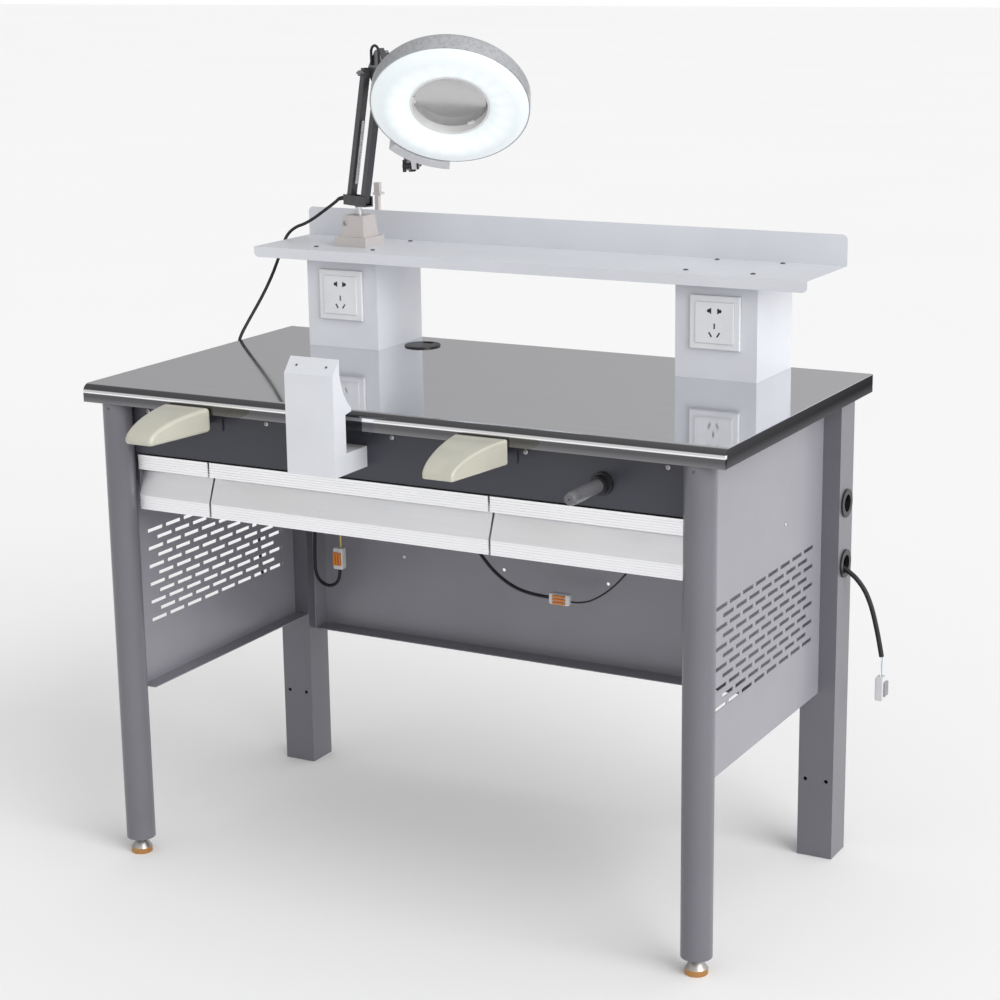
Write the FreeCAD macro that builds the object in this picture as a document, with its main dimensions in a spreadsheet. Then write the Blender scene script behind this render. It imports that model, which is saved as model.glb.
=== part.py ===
"""Dental laboratory bench: steel worktop on a panelled frame, drawers, dust hood and magnifier lamp.

Millimetres, +Z up, the operator sits on the -Y side. The floor is z = 0, and x = y = 0 is the
middle of the plan of the bench with its finger rests.
"""
import FreeCAD, Part
import math
import os

import Sketcher

from FreeCAD import Placement, Rotation, Vector

SIZES = {
    # worktop: a folded stainless sheet over a board
    "worktop_length": 1110,
    "worktop_depth": 600,
    "worktop_top": 800,
    "worktop_edge": 29,
    "worktop_sheet": 1,
    "nose_radius": 14,
    # legs and feet
    "leg_inset": 47.5,
    "front_leg_radius": 24,
    "front_leg_wall": 2.5,
    "front_leg_setback": 25.6,
    "rear_leg_side": 60,
    "rear_leg_wall": 2,
    "rear_leg_setback": 32,
    "leg_hole_radius": 3.3,
    "leg_hole_spacing": 36,
    "leg_hole_height": 134,
    "foot_height": 27,
    "foot_radius": 17.5,
    "foot_disc": 9,
    "foot_neck": 20,
    "stud_radius": 5,
    "stud_length": 58,
    "insert_height": 22,
    "running_fit": 0.05,
    # sheet-metal skirt of the frame
    "panel_sheet": 1.5,
    "side_panel_bottom": 285,
    "side_flange": 28,
    "slot_length": 40,
    "slot_height": 6,
    "slot_pitch": 49.5,
    "slot_row_pitch": 15.3,
    "slot_rows": 11,
    "slot_columns": 8,
    "slot_top_row": 541,
    "back_panel_bottom": 254,
    "back_flange": 40,
    "back_hole_radius": 3,
    "back_hole_pitch": 203.5,
    "back_hole_height": 402,
    "rail_side": 20,
    "rail_wall": 2,
    "fascia_setback": 35,
    "fascia_height": 82.5,
    "fascia_flange": 18,
    "fascia_screw_margin": 29.5,
    "left_rest_screw_gap": 82,
    "hood_screw_gap": 45,
    "right_rest_screw_gap": 13,
    "fascia_screw_drop": 13,
    # drawers
    "drawer_setback": 33,
    "drawer_height": 90,
    "drawer_left_width": 136,
    "drawer_middle_width": 502,
    "drawer_leg_gap": 5.5,
    "drawer_gap": 3.5,
    "front_depth": 21,
    "band_height": 24,
    "band_lip": 3,
    "grip_depth": 17,
    "grip_rise": 9,
    "rib_pitch": 4,
    "rib_depth": 0.8,
    "tray_length": 380,
    "tray_height": 56,
    "tray_wall": 1.2,
    "tray_top_gap": 8,
    "tray_flange": 9,
    "drawer_rail_lip": 12,
    "drawer_rail_height": 10,
    "slide_gap": 0.6,
    "housing_sheet": 1.2,
    "housing_rise": 20,
    "housing_room": 7,
    # dust hood
    "hood_width": 85,
    "hood_front": 54.5,
    "hood_lift": 20,
    "hood_foot": 32,
    "hood_fold_rise": 62,
    "hood_top_rise": 84.5,
    "hood_top_depth": 19,
    "hood_nose_gap": 6,
    "hood_nose_rise": 2,
    "hood_nose_edge": 4.5,
    "hood_step": 22.5,
    "hood_sheet": 1.5,
    "hood_hollow_back": 10.6,
    "hood_hollow_rise": 23.4,
    "hood_mouth_margin": 6,
    "hood_mouth_height": 32.4,
    # finger rests
    "rest_spread": 261.5,
    "rest_reach": 130,
    "rest_gap": 1.5,
    "rest_back_width": 88,
    "rest_tip_width": 50,
    "rest_drop": 26,
    "rest_height": 38,
    "rest_lip": 6.8,
    "tongue_width": 40,
    "tongue_height": 12,
    "tongue_bite": 30,
    "tongue_plate": 3,
    # air gun in the fascia
    "gun_inset": 156.5,
    "gun_drop": 47.5,
    "gun_radius": 10.2,
    "gun_nose_radius": 7.6,
    "gun_jet_radius": 1.2,
    "gun_groove_back": 18,
    "gun_reach": 107,
    "gun_depth": 40,
    "gun_flange_radius": 17.5,
    "gun_collar_radius": 13.4,
    "gun_collar": 12,
    "gun_flange": 6,
    # socket posts and shelf
    "post_inset": 208,
    "post_width": 140,
    "post_depth": 147,
    "post_setback": 3,
    "post_sheet": 1.2,
    "socket_side": 86,
    "socket_plate": 6,
    "socket_rise": 92,
    "socket_cutout": 66,
    "socket_box": 32,
    "socket_face": 1.5,
    "pin_slot_width": 2,
    "pin_slot_height": 8.4,
    "pin_slot_depth": 15,
    "pin_spread": 9,
    "pin_lean": 30,
    "two_pin_rise": 12,
    "three_pin_drop": 15.6,
    "earth_pin_drop": 3.6,
    "shelf_inset": 47,
    "shelf_depth": 177,
    "shelf_rise": 170,
    "shelf_sheet": 1.2,
    "shelf_lip": 18,
    "shelf_upstand": 50,
    "shelf_corner": 9,
    "shelf_screw_x": 57,
    "shelf_screw_y": 62.5,
    "screw_head_radius": 4,
    "screw_head": 2.2,
    # cable outlets
    "outlet_inset": 323,
    "outlet_setback": 78,
    "outlet_radius": 31,
    "outlet_bore": 26,
    "outlet_wall": 2,
    "outlet_ledge": 3,
    "cap_notch": 20,
    "cap_notch_depth": 13,
    "seat_gap": 0.3,
    "outlet_rim": 2.5,
    "outlet_depth": 20,
    "cap_sheet": 3,
    "leg_outlet_upper": 600,
    "leg_outlet_lower": 500,
    "leg_outlet_radius": 23,
    "leg_outlet_bore": 14,
    "leg_outlet_rim": 3,
    # hook post on the back of the shelf
    "hook_inset": 189,
    "hook_reach": 16,
    "hook_width": 15,
    "hook_rise": 97,
    "hook_seat": 16.5,
    "hook_strip": 8,
    "hook_head": 21,
    # magnifier lamp
    "lamp_inset": 207,
    "lamp_setback": 88,
    "arm_turn": -23.3,
    "base_side": 63,
    "base_plinth": 16,
    "base_lower": 48,
    "base_upper": 40,
    "rod_depth": 40,
    "base_height": 52.5,
    "rod_radius": 6,
    "rod_collar_radius": 8,
    "rod_collar": 6,
    "rod_end_gap": 1,
    "lower_pivot_rise": 82,
    "lower_pivot_rear": -9,
    "lower_pivot_spacing": 41,
    "lower_arm_length": 219,
    "lower_arm_lean": 13.7,
    "upper_pivot_out": 23.5,
    "upper_pivot_up": 32,
    "upper_arm_length": 184,
    "upper_arm_drop": 54.5,
    "tube_side": 12,
    "tube_wall": 1.2,
    "tube_end": 7,
    "pin_radius": 2.5,
    "pin_head_radius": 4.5,
    "pin_head": 2.5,
    "pivot_boss_radius": 6.5,
    "nut_hub_radius": 4.8,
    "nut_depth": 7.5,
    "nut_span": 22,
    "nut_ear": 2.5,
    "nut_ear_depth": 3,
    "open_pivot_fit": 0.4,
    "elbow_plate": 3,
    "side_gap": 0.4,
    "bracket_plate": 2.5,
    "gland_length": 7.5,
    "spring_radius": 3.6,
    "spring_wire": 0.7,
    "lower_spring_turns": 20,
    "upper_spring_turns": 12,
    "spring_pitch": 5.4,
    "lead_arch": 11,
    "lead_radius": 2.3,
    "boss_out": 36,
    "boss_side": -8.5,
    "boss_radius": 7.5,
    "boss_height": 17.5,
    "boss_lift": 13.5,
    "yoke_pin": 3.5,
    "yoke_reach": 35.8,
    "yoke_height": 8,
    "yoke_gap": 1.5,
    "lug_width": 8,
    "lug_radius": 6,
    "fork_plate": 3,
    "knob_radius": 5,
    "knob_length": 12,
    "knob_span": 20,
    "knob_ear_depth": 6,
    "head_azimuth": -66.3,
    "head_tilt": 41.5,
    "head_clock": 63,
    "head_standoff": 12,
    "head_radius": 127.3,
    "head_skirt": 26,
    "head_crown": 88,
    "head_depth": 46,
    "head_sheet": 2,
    "head_bulge": 13,
    "lens_radius": 60,
    "lens_thickness": 13,
    "lens_edge": 3,
    "lens_seat": 17,
    "lens_collar": 4,
    "lens_tab": 12,
    "lens_tab_sheet": 2,
    "switch_radial": 14,
    "switch_depth": 24,
    "switch_span": 44,
    "switch_front": 4.3,
    "lug_root": 7,
    # cords
    "cord_radius": 2.8,
    "coil_radius": 28,
    "coil_turns": 3.75,
    "coil_gap": 1.8,
    "strand_gap": 0.6,
    "tie_sheet": 1.2,
    "tie_width": 4,
    "tie_barb_radius": 4,
    "tie_barb": 2,
    "mains_radius": 4,
    "plug_radius": 13,
    "plug_length": 46,
    "plug_neck_radius": 5.6,
    "plug_neck": 9,
    "plug_taper": 12,
    "blade_sheet": 1.5,
    "blade_width": 6,
    "blade_length": 16,
    "blade_spread": 6.3,
    "wire_radius": 1.5,
    "bare_length": 33,
    "core_radius": 0.75,
    "core_spacing": 2.4,
    "loop_radius": 3,
    "connector_length": 40,
    "connector_width": 20,
    "connector_depth": 14,
    "wire_offset": 3.3,
    "lever_length": 24,
    "lever_start": 8,
    "lever_rise": 3.5,
    "lever_gap": 2,
}

doc = FreeCAD.newDocument("dental_lab_bench")
sheet = doc.addObject("Spreadsheet::Sheet", "dims")


class Size:
    """One length of the bench: its number, and the sheet expression that gives it."""

    def __init__(self, value, text):
        self.value = float(value)
        self.text = text

    def __add__(self, other):
        other = size(other)
        return Size(self.value + other.value, f"({self.text} + {other.text})")

    def __sub__(self, other):
        other = size(other)
        return Size(self.value - other.value, f"({self.text} - {other.text})")

    def __mul__(self, factor):
        return Size(self.value * factor, f"({self.text} * {factor})")

    def __truediv__(self, divisor):
        return Size(self.value / divisor, f"({self.text} / {divisor})")

    def __neg__(self):
        return Size(-self.value, f"(0 - {self.text})")

    __rmul__ = __mul__

    def __radd__(self, other):
        return size(other) + self

    def __rsub__(self, other):
        return size(other) - self

    def __float__(self):
        return self.value


def size(value):
    """Return a Size for a Size or a plain number."""
    if isinstance(value, Size):
        return value
    return Size(value, f"({value})")


class Dims:
    """The sheet's cells by name."""


def fill_sheet():
    """Write each driving dimension to a cell with its alias, and return the cells by name."""
    cells = Dims()
    for row, (alias, value) in enumerate(SIZES.items(), 1):
        sheet.set(f"A{row}", alias)
        sheet.set(f"B{row}", str(value))
        sheet.setAlias(f"B{row}", alias)
        setattr(cells, alias, Size(value, f"dims.{alias}"))
    doc.recompute()
    return cells


d = fill_sheet()
nodes = {}

# Planes that many pieces share
origin_shift = (d.rest_reach + d.rest_gap - d.hook_reach) / 2
edge_front = origin_shift - d.worktop_depth / 2
edge_back = origin_shift + d.worktop_depth / 2
edge_right = d.worktop_length / 2
worktop_under = d.worktop_top - d.worktop_edge
leg_x = edge_right - d.leg_inset
front_leg_y = edge_front + d.front_leg_setback
rear_leg_back = edge_back - d.rear_leg_setback
rear_leg_front = rear_leg_back - d.rear_leg_side
rear_leg_inner = leg_x - d.rear_leg_side / 2
rear_leg_outer = leg_x + d.rear_leg_side / 2
rear_leg_y = rear_leg_back - d.rear_leg_side / 2
fascia_front = edge_front + d.fascia_setback
fascia_back = fascia_front + d.panel_sheet
fascia_bottom = worktop_under - d.fascia_height
fascia_screw_height = worktop_under - d.fascia_screw_drop
drawer_front = edge_front + d.drawer_setback
drawer_top = fascia_bottom - d.drawer_gap
drawer_bottom = drawer_top - d.drawer_height
hood_bottom = fascia_bottom + d.hood_lift
rest_bottom = worktop_under - d.rest_drop
gun_height = worktop_under - d.gun_drop
socket_middle = d.worktop_top + d.socket_rise
shelf_top = d.worktop_top + d.shelf_rise
hook_top = shelf_top + d.hook_rise
row_half = leg_x - d.front_leg_radius - d.drawer_leg_gap
drawer_right_width = 2 * row_half - d.drawer_left_width - d.drawer_middle_width - 2 * d.drawer_gap
middle_x = d.drawer_left_width + d.drawer_gap + d.drawer_middle_width / 2 - row_half
gun_x = leg_x - d.gun_inset
post_spread = edge_right - d.post_inset
shelf_length = d.worktop_length - 2 * d.shelf_inset
hook_x = d.hook_inset - edge_right
lamp_x = d.lamp_inset - edge_right
outlet_x = d.outlet_inset - edge_right
outlet_y = edge_back - d.outlet_setback
coil_x = d.back_hole_pitch * -1.5
leg_sleeve_radius = d.leg_outlet_bore + d.outlet_wall
gun_tail_radius = d.gun_radius + d.outlet_wall
tray_start = drawer_front + d.front_depth
tray_top = drawer_top - d.tray_top_gap
rail_low = tray_top - d.drawer_rail_height + d.housing_sheet + d.slide_gap
housing_back = tray_start + d.tray_length + d.housing_room
tongue_rise = d.tongue_plate * 2
post_front = edge_back - d.post_setback - d.post_depth
post_back = edge_back - d.post_setback
post_y = edge_back - d.post_setback - d.post_depth / 2
shelf_under = shelf_top - d.shelf_sheet
lamp_y = edge_back - d.lamp_setback
SIDES = {"left": -1, "right": 1}


def node(part, label):
    """Give a finished piece its label and list it for export."""
    part.Label = label
    nodes[label] = part
    return part


def place(part, corner):
    """Bind a part's position to three sizes."""
    for axis, value in zip("xyz", corner):
        part.setExpression(f"Placement.Base.{axis}", size(value).text)
    return part


def block(low, high):
    """Make a box between two corners."""
    part = doc.addObject("Part::Box", "block")
    for prop, a, b in zip(("Length", "Width", "Height"), low, high):
        part.setExpression(prop, (size(b) - size(a)).text)
    return place(part, low)


TURNS = {
    "x": Rotation(Vector(0, 1, 0), 90),
    "y": Rotation(Vector(1, 0, 0), -90),
    "z": Rotation(),
}


def rod(radius, start, length, axis="z"):
    """Make a cylinder from a start point along the positive direction of one axis."""
    part = doc.addObject("Part::Cylinder", "rod")
    part.setExpression("Radius", size(radius).text)
    part.setExpression("Height", size(length).text)
    part.Placement = Placement(Vector(), TURNS[axis])
    return place(part, start)


def fuse(parts):
    """Join parts into one solid."""
    joined = doc.addObject("Part::MultiFuse", "joined")
    joined.Shapes = parts
    joined.Refine = True
    return joined


def cut(base, tools):
    """Take tools away from a base."""
    result = doc.addObject("Part::Cut", "cut")
    result.Base = base
    result.Tool = tools[0] if len(tools) == 1 else group(tools)
    return result


def group(parts):
    """Hold separate solids in one node."""
    held = doc.addObject("Part::Compound", "group")
    held.Links = parts
    return held


def shaped(shape, placement=None):
    """Hold a shape made with Part's own functions."""
    part = doc.addObject("Part::Feature", "shaped")
    part.Shape = shape
    if placement is not None:
        part.Placement = placement
    return part


def draw(sketch, outline):
    """Draw a closed outline of lines, with each corner bound to its two sizes.

    A corner is (a, b); an entry (a, b, (m, n)) reaches its corner by an arc through (m, n).
    """
    corners = [Vector(float(p[0]), float(p[1]), 0) for p in outline]
    first = sketch.GeometryCount
    count = len(outline)
    for i, entry in enumerate(outline):
        start = corners[i - 1]
        end = corners[i]
        if len(entry) == 3:
            through = Vector(float(entry[2][0]), float(entry[2][1]), 0)
            sketch.addGeometry(Part.Arc(start, through, end), False)
        else:
            sketch.addGeometry(Part.LineSegment(start, end), False)
    for i, entry in enumerate(outline):
        here = first + i
        after = first + (i + 1) % count
        tip = end_point(sketch, here, corners[i])
        heel = end_point(sketch, after, corners[i])
        sketch.addConstraint(Sketcher.Constraint("Coincident", here, tip, after, heel))
        for kind, value in zip(("DistanceX", "DistanceY"), entry[:2]):
            index = sketch.addConstraint(Sketcher.Constraint(kind, -1, 1, here, tip, float(value)))
            sketch.setExpression(f"Constraints[{index}]", size(value).text)


def end_point(sketch, geometry, corner):
    """Tell which end of a line or arc lies at a corner: 1 for its start, 2 for its end."""
    if sketch.getPoint(geometry, 1).distanceToPoint(corner) < 1e-6:
        return 1
    return 2


def origin_plane(body, role):
    """Find one of a body's own origin planes."""
    return next(f for f in body.Origin.OriginFeatures if f.Role == role)


def new_sketch(body, role, outlines):
    """Put closed outlines on one of a body's origin planes."""
    sketch = body.newObject("Sketcher::SketchObject", "outline")
    sketch.AttachmentSupport = [(origin_plane(body, role), "")]
    sketch.MapMode = "FlatFace"
    for outline in outlines:
        draw(sketch, outline)
    return sketch


def padded(role, outlines, length, corner):
    """Pad outlines on an origin plane by a length, and place the body."""
    body = doc.addObject("PartDesign::Body", "padded")
    sketch = new_sketch(body, role, outlines)
    pad = body.newObject("PartDesign::Pad", "pad")
    pad.Profile = sketch
    pad.setExpression("Length", size(length).text)
    sketch.Visibility = False
    doc.recompute()
    return place(body, corner)


def turned(outline, corner):
    """Revolve an outline of (radius, height) corners about a vertical axis."""
    body = doc.addObject("PartDesign::Body", "turned")
    sketch = new_sketch(body, "XZ_Plane", [outline])
    turn = body.newObject("PartDesign::Revolution", "turn")
    turn.Profile = sketch
    turn.ReferenceAxis = (sketch, ["V_Axis"])
    turn.Angle = 360
    sketch.Visibility = False
    doc.recompute()
    return place(body, corner)


def span(side, near, far):
    """Return the low and high x of a stretch from near to far on the left (-1) or right (1)."""
    if side > 0:
        return near, far
    return -far, -near


def tube_block(low, high, wall, axis):
    """Make a square tube, open at both ends of one axis."""
    inner_low = [a if i == axis else a + wall for i, a in enumerate(low)]
    inner_high = [b if i == axis else b - wall for i, b in enumerate(high)]
    inner_low[axis] = inner_low[axis] - wall
    inner_high[axis] = inner_high[axis] + wall
    return cut(block(low, high), [block(inner_low, inner_high)])


def make_worktop():
    """Stainless sheet with a rounded front edge and closed ends, over a board, with a cable hole."""
    radius = d.nose_radius
    wall = d.worktop_sheet
    high = d.worktop_edge
    deep = d.worktop_depth
    bend = radius * (1 - math.sqrt(0.5))
    outer = [(0, 0), (0, high - radius), (radius, high, (bend, high - bend)), (deep, high), (deep, 0)]
    inner_bend = wall + (radius - wall) * (1 - math.sqrt(0.5))
    inner = [
        (wall, -wall),
        (wall, high - radius),
        (radius, high - wall, (inner_bend, high - inner_bend)),
        (deep - wall, high - wall),
        (deep - wall, -wall),
    ]
    corner = (-edge_right, edge_front, worktop_under)
    shell = padded("YZ_Plane", [outer], d.worktop_length, corner)
    inner_corner = (wall - edge_right, edge_front, worktop_under)
    hollow = padded("YZ_Plane", [inner], d.worktop_length - 2 * wall, inner_corner)
    hole_radius = d.outlet_bore + d.outlet_wall + d.seat_gap
    hole = rod(hole_radius, (outlet_x, outlet_y, worktop_under - wall), high + 2 * wall)
    node(cut(cut(shell, [hollow]), [hole]), "worktop_skin")
    board = block(
        (wall - edge_right, edge_front + radius, worktop_under),
        (edge_right - wall, edge_back - wall, d.worktop_top - wall),
    )
    board_hole = rod(hole_radius, (outlet_x, outlet_y, worktop_under - wall), high + 2 * wall)
    node(cut(board, [board_hole]), "worktop_core")


def make_outlet():
    """Round desk grommet: a flanged sleeve with a ledge, and a turning cap with a cable notch."""
    bore = d.outlet_bore
    sleeve = bore + d.outlet_wall
    top = d.outlet_rim
    ledge_top = top - d.cap_sheet - d.seat_gap
    ring = [
        (bore, top),
        (d.outlet_radius, top),
        (d.outlet_radius, 0),
        (sleeve, 0),
        (sleeve, -d.outlet_depth),
        (bore, -d.outlet_depth),
        (bore, ledge_top - d.outlet_wall),
        (bore - d.outlet_ledge, ledge_top - d.outlet_wall),
        (bore - d.outlet_ledge, ledge_top),
        (bore, ledge_top),
    ]
    node(turned(ring, (outlet_x, outlet_y, d.worktop_top)), "desk_grommet")
    cap_low = d.worktop_top + ledge_top + d.seat_gap
    disc = rod(bore - d.seat_gap, (outlet_x, outlet_y, cap_low), d.cap_sheet)
    notch = block(
        (outlet_x - d.cap_notch / 2, outlet_y + d.cap_notch_depth, cap_low - d.cap_sheet),
        (outlet_x + d.cap_notch / 2, outlet_y + bore, cap_low + 2 * d.cap_sheet),
    )
    node(cut(disc, [notch]), "grommet_cap")


def make_front_leg(name, side):
    """Round front leg with a threaded plug welded into its end, and a levelling foot."""
    x = side * leg_x
    length = worktop_under - d.foot_height
    bore = d.front_leg_radius - d.front_leg_wall
    outer = rod(d.front_leg_radius, (x, front_leg_y, d.foot_height), length)
    wall = d.front_leg_wall
    below = (x, front_leg_y, d.foot_height - wall)
    inner = rod(bore, below, length + 2 * wall)
    insert = rod(bore, (x, front_leg_y, d.foot_height), d.insert_height)
    thread = rod(d.stud_radius + d.running_fit, below, d.insert_height + 2 * wall)
    node(cut(fuse([cut(outer, [inner]), insert]), [thread]), f"front_leg_{name}")
    foot = [
        (0, 0),
        (d.foot_radius, 0),
        (d.foot_radius, d.foot_disc),
        (d.stud_radius + d.foot_disc / 2, d.foot_neck),
        (d.stud_radius, d.foot_neck),
        (d.stud_radius, d.stud_length),
        (0, d.stud_length),
    ]
    node(turned(foot, (x, front_leg_y, 0)), f"foot_{name}")


def make_rear_leg(name, side):
    """Square rear leg with a pair of bolt holes, and cable outlets on the right-hand one."""
    x_low, x_high = span(side, rear_leg_inner, rear_leg_outer)
    wall = d.rear_leg_wall
    tube = tube_block((x_low, rear_leg_front, 0), (x_high, rear_leg_back, worktop_under), wall, 2)
    holes = [
        rod(
            d.leg_hole_radius,
            (side * leg_x + offset * d.leg_hole_spacing / 2, rear_leg_front - wall, d.leg_hole_height),
            3 * wall,
            "y",
        )
        for offset in (-1, 1)
    ]
    if side > 0:
        for height in (d.leg_outlet_upper, d.leg_outlet_lower):
            start = (rear_leg_outer - 2 * wall, rear_leg_y, height)
            holes.append(rod(leg_sleeve_radius + d.seat_gap, start, 3 * wall, "x"))
    node(cut(tube, holes), f"rear_leg_{name}")


def make_leg_outlets():
    """Two black cable bushes in the outer face of the right-hand rear leg."""
    bushes = []
    for height in (d.leg_outlet_upper, d.leg_outlet_lower):
        flange = rod(d.leg_outlet_radius, (rear_leg_outer, rear_leg_y, height), d.leg_outlet_rim, "x")
        depth = d.rear_leg_wall + d.leg_outlet_rim
        sleeve = rod(leg_sleeve_radius, (rear_leg_outer - depth, rear_leg_y, height), depth, "x")
        bore = rod(d.leg_outlet_bore, (rear_leg_outer - 2 * depth, rear_leg_y, height), 4 * depth, "x")
        bushes.append(cut(fuse([flange, sleeve]), [bore]))
    node(group(bushes), "leg_grommets")


def slot_cutters(side):
    """Staggered rows of slots, full rows of slot_columns and rows between them of one less."""
    columns = int(d.slot_columns.value)
    middle = (front_leg_y + d.front_leg_radius + rear_leg_front) / 2
    boxes = []
    for row in range(int(d.slot_rows.value)):
        count = columns - row % 2
        height = d.slot_top_row - row * d.slot_row_pitch - d.slot_height / 2
        for column in range(count):
            start = middle + (column - (count - 1) / 2) * d.slot_pitch - d.slot_length / 2
            corner = Vector(side * leg_x.value - d.panel_sheet.value, start.value, height.value)
            length = d.slot_length.value
            boxes.append(Part.makeBox(2 * d.panel_sheet.value, length, d.slot_height.value, corner))
    return shaped(Part.makeCompound(boxes))


def make_side_panel(name, side):
    """Perforated side sheet on the legs' centre line, its bottom edge folded inwards."""
    half = d.panel_sheet / 2
    y_low = front_leg_y + d.front_leg_radius
    x_low, x_high = span(side, leg_x - half, leg_x + half)
    web = block((x_low, y_low, d.side_panel_bottom), (x_high, rear_leg_front, worktop_under))
    f_low, f_high = span(side, leg_x - d.side_flange, leg_x + half)
    flange = block(
        (f_low, y_low, d.side_panel_bottom),
        (f_high, rear_leg_front, d.side_panel_bottom + d.panel_sheet),
    )
    node(cut(fuse([web, flange]), [slot_cutters(side)]), f"side_panel_{name}")


def make_back_panel():
    """Back pan between the rear legs, folded forwards along its sides and bottom."""
    wall = d.panel_sheet
    y_low = rear_leg_back - d.back_flange
    bottom = d.back_panel_bottom
    whole = block((-rear_leg_inner, y_low, bottom), (rear_leg_inner, rear_leg_back, worktop_under))
    hollow = block(
        (wall - rear_leg_inner, y_low - wall, bottom + wall),
        (rear_leg_inner - wall, rear_leg_back - wall, worktop_under + wall),
    )
    holes = [
        rod(
            d.back_hole_radius,
            (place_in_row * d.back_hole_pitch, rear_leg_back - 2 * wall, d.back_hole_height),
            3 * wall,
            "y",
        )
        for place_in_row in (-1.5, -0.5, 0.5, 1.5)
    ]
    node(cut(cut(whole, [hollow]), holes), "back_panel")


def make_frame_rails():
    """Square tubes under the worktop: one along each side, and one across the back."""
    high = worktop_under
    low = worktop_under - d.rail_side
    rails = []
    for side in SIDES.values():
        face = leg_x - d.panel_sheet / 2
        x_low, x_high = span(side, face - d.rail_side, face)
        start = fascia_front + d.fascia_flange
        rails.append(tube_block((x_low, start, low), (x_high, rear_leg_front, high), d.rail_wall, 1))
    reach = rear_leg_inner - d.panel_sheet
    y_high = rear_leg_back - d.panel_sheet
    rails.append(tube_block((-reach, y_high - d.rail_side, low), (reach, y_high, high), d.rail_wall, 0))
    node(group(rails), "frame_rails")


def make_fascia():
    """Dark front sheet under the worktop, folded back at top and bottom, cut for the hood and the gun."""
    wall = d.panel_sheet
    reach = leg_x - d.front_leg_radius
    sheet_part = block((-reach, fascia_front, fascia_bottom), (reach, fascia_back, worktop_under))
    folds = [
        block((-reach, fascia_front, low), (reach, fascia_front + d.fascia_flange, low + wall))
        for low in (fascia_bottom, worktop_under - wall)
    ]
    half = d.hood_width / 2 - d.hood_sheet
    duct = block(
        (middle_x - half, fascia_front - wall, hood_bottom + d.hood_sheet),
        (middle_x + half, fascia_back + wall, hood_bottom + d.hood_foot - d.hood_sheet),
    )
    gun_hole = rod(gun_tail_radius + d.seat_gap, (gun_x, fascia_front - wall, gun_height), 3 * wall, "y")
    screw_places = [
        d.fascia_screw_margin - reach,
        middle_x - d.rest_spread + d.tongue_width + d.left_rest_screw_gap,
        middle_x + d.hood_width / 2 + d.hood_screw_gap,
        middle_x + d.rest_spread + d.tongue_width + d.right_rest_screw_gap,
        reach - d.fascia_screw_margin,
    ]
    node(cut(fuse([sheet_part] + folds), [duct, gun_hole]), "fascia_panel")
    heads = [
        rod(
            d.screw_head_radius,
            (x, fascia_front - d.screw_head, fascia_screw_height),
            d.screw_head,
            "y",
        )
        for x in screw_places
    ]
    return heads


def drawer_bays():
    """Return each drawer's name with the x of its front's two ends and of its bay's two walls."""
    widths = {"left": d.drawer_left_width, "middle": d.drawer_middle_width, "right": drawer_right_width}
    bays = {}
    start = -row_half
    half_wall = d.housing_sheet / 2
    for name, width in widths.items():
        end = start + width
        wall_low = start - d.drawer_gap / 2 + half_wall if name != "left" else start
        wall_high = end + d.drawer_gap / 2 - half_wall if name != "right" else end
        bays[name] = (start, end, wall_low, wall_high)
        start = end + d.drawer_gap
    return bays


def make_housing(bays):
    """Sheet carcass of the drawers: top, ends, two partitions, and a back that hangs on the worktop."""
    wall = d.housing_sheet
    low = drawer_bottom + d.housing_rise
    back_low = housing_back - wall
    reach = row_half + wall
    hanger = leg_x - d.panel_sheet / 2 - d.rail_side - d.seat_gap
    plates = [
        block((-reach, fascia_front, fascia_bottom - wall), (reach, housing_back, fascia_bottom)),
        block((-reach, back_low, low), (reach, housing_back, fascia_bottom)),
        block((-hanger, back_low, fascia_bottom - wall), (hanger, housing_back, worktop_under)),
    ]
    for side in SIDES.values():
        x_low, x_high = span(side, row_half, row_half + wall)
        plates.append(block((x_low, fascia_front, low), (x_high, housing_back, fascia_bottom)))
    for name in ("left", "middle"):
        wall_low = bays[name][3]
        high = (wall_low + wall, housing_back, fascia_bottom)
        plates.append(block((wall_low, tray_start + wall, low), high))
    node(fuse(plates), "drawer_housing")


def make_drawer_rails(bays):
    """Channel rails that carry the drawers' rolled edges, one on each side of each bay."""
    wall = d.housing_sheet
    rails = []
    for start, end, wall_low, wall_high in bays.values():
        for low, high, web in (
            (wall_low, wall_low + d.drawer_rail_lip, 0),
            (wall_high - d.drawer_rail_lip, wall_high, 1),
        ):
            outer = block(
                (low, tray_start + 2 * wall, rail_low),
                (high, tray_start + d.tray_length, rail_low + d.drawer_rail_height),
            )
            inner = block(
                (low - wall if web else low + wall, tray_start, rail_low + wall),
                (
                    high - wall if web else high + wall,
                    tray_start + d.tray_length + wall,
                    rail_low + d.drawer_rail_height - wall,
                ),
            )
            rails.append(cut(outer, [inner]))
    node(group(rails), "drawer_rails")


def band(low, side_depth):
    """Corners of one ribbed band of a drawer front, from its lower edge upwards."""
    count = int(d.band_height.value // d.rib_pitch.value) - 1
    margin = (d.band_height - (count - 1) * d.rib_pitch) / 2
    corners = [(0, low)]
    for i in range(count):
        middle = low + margin + i * d.rib_pitch
        width = side_depth
        corners += [
            (0, middle - width),
            (width, middle - width),
            (width, middle + width),
            (0, middle + width),
        ]
    corners.append((0, low + d.band_height))
    return corners


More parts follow.
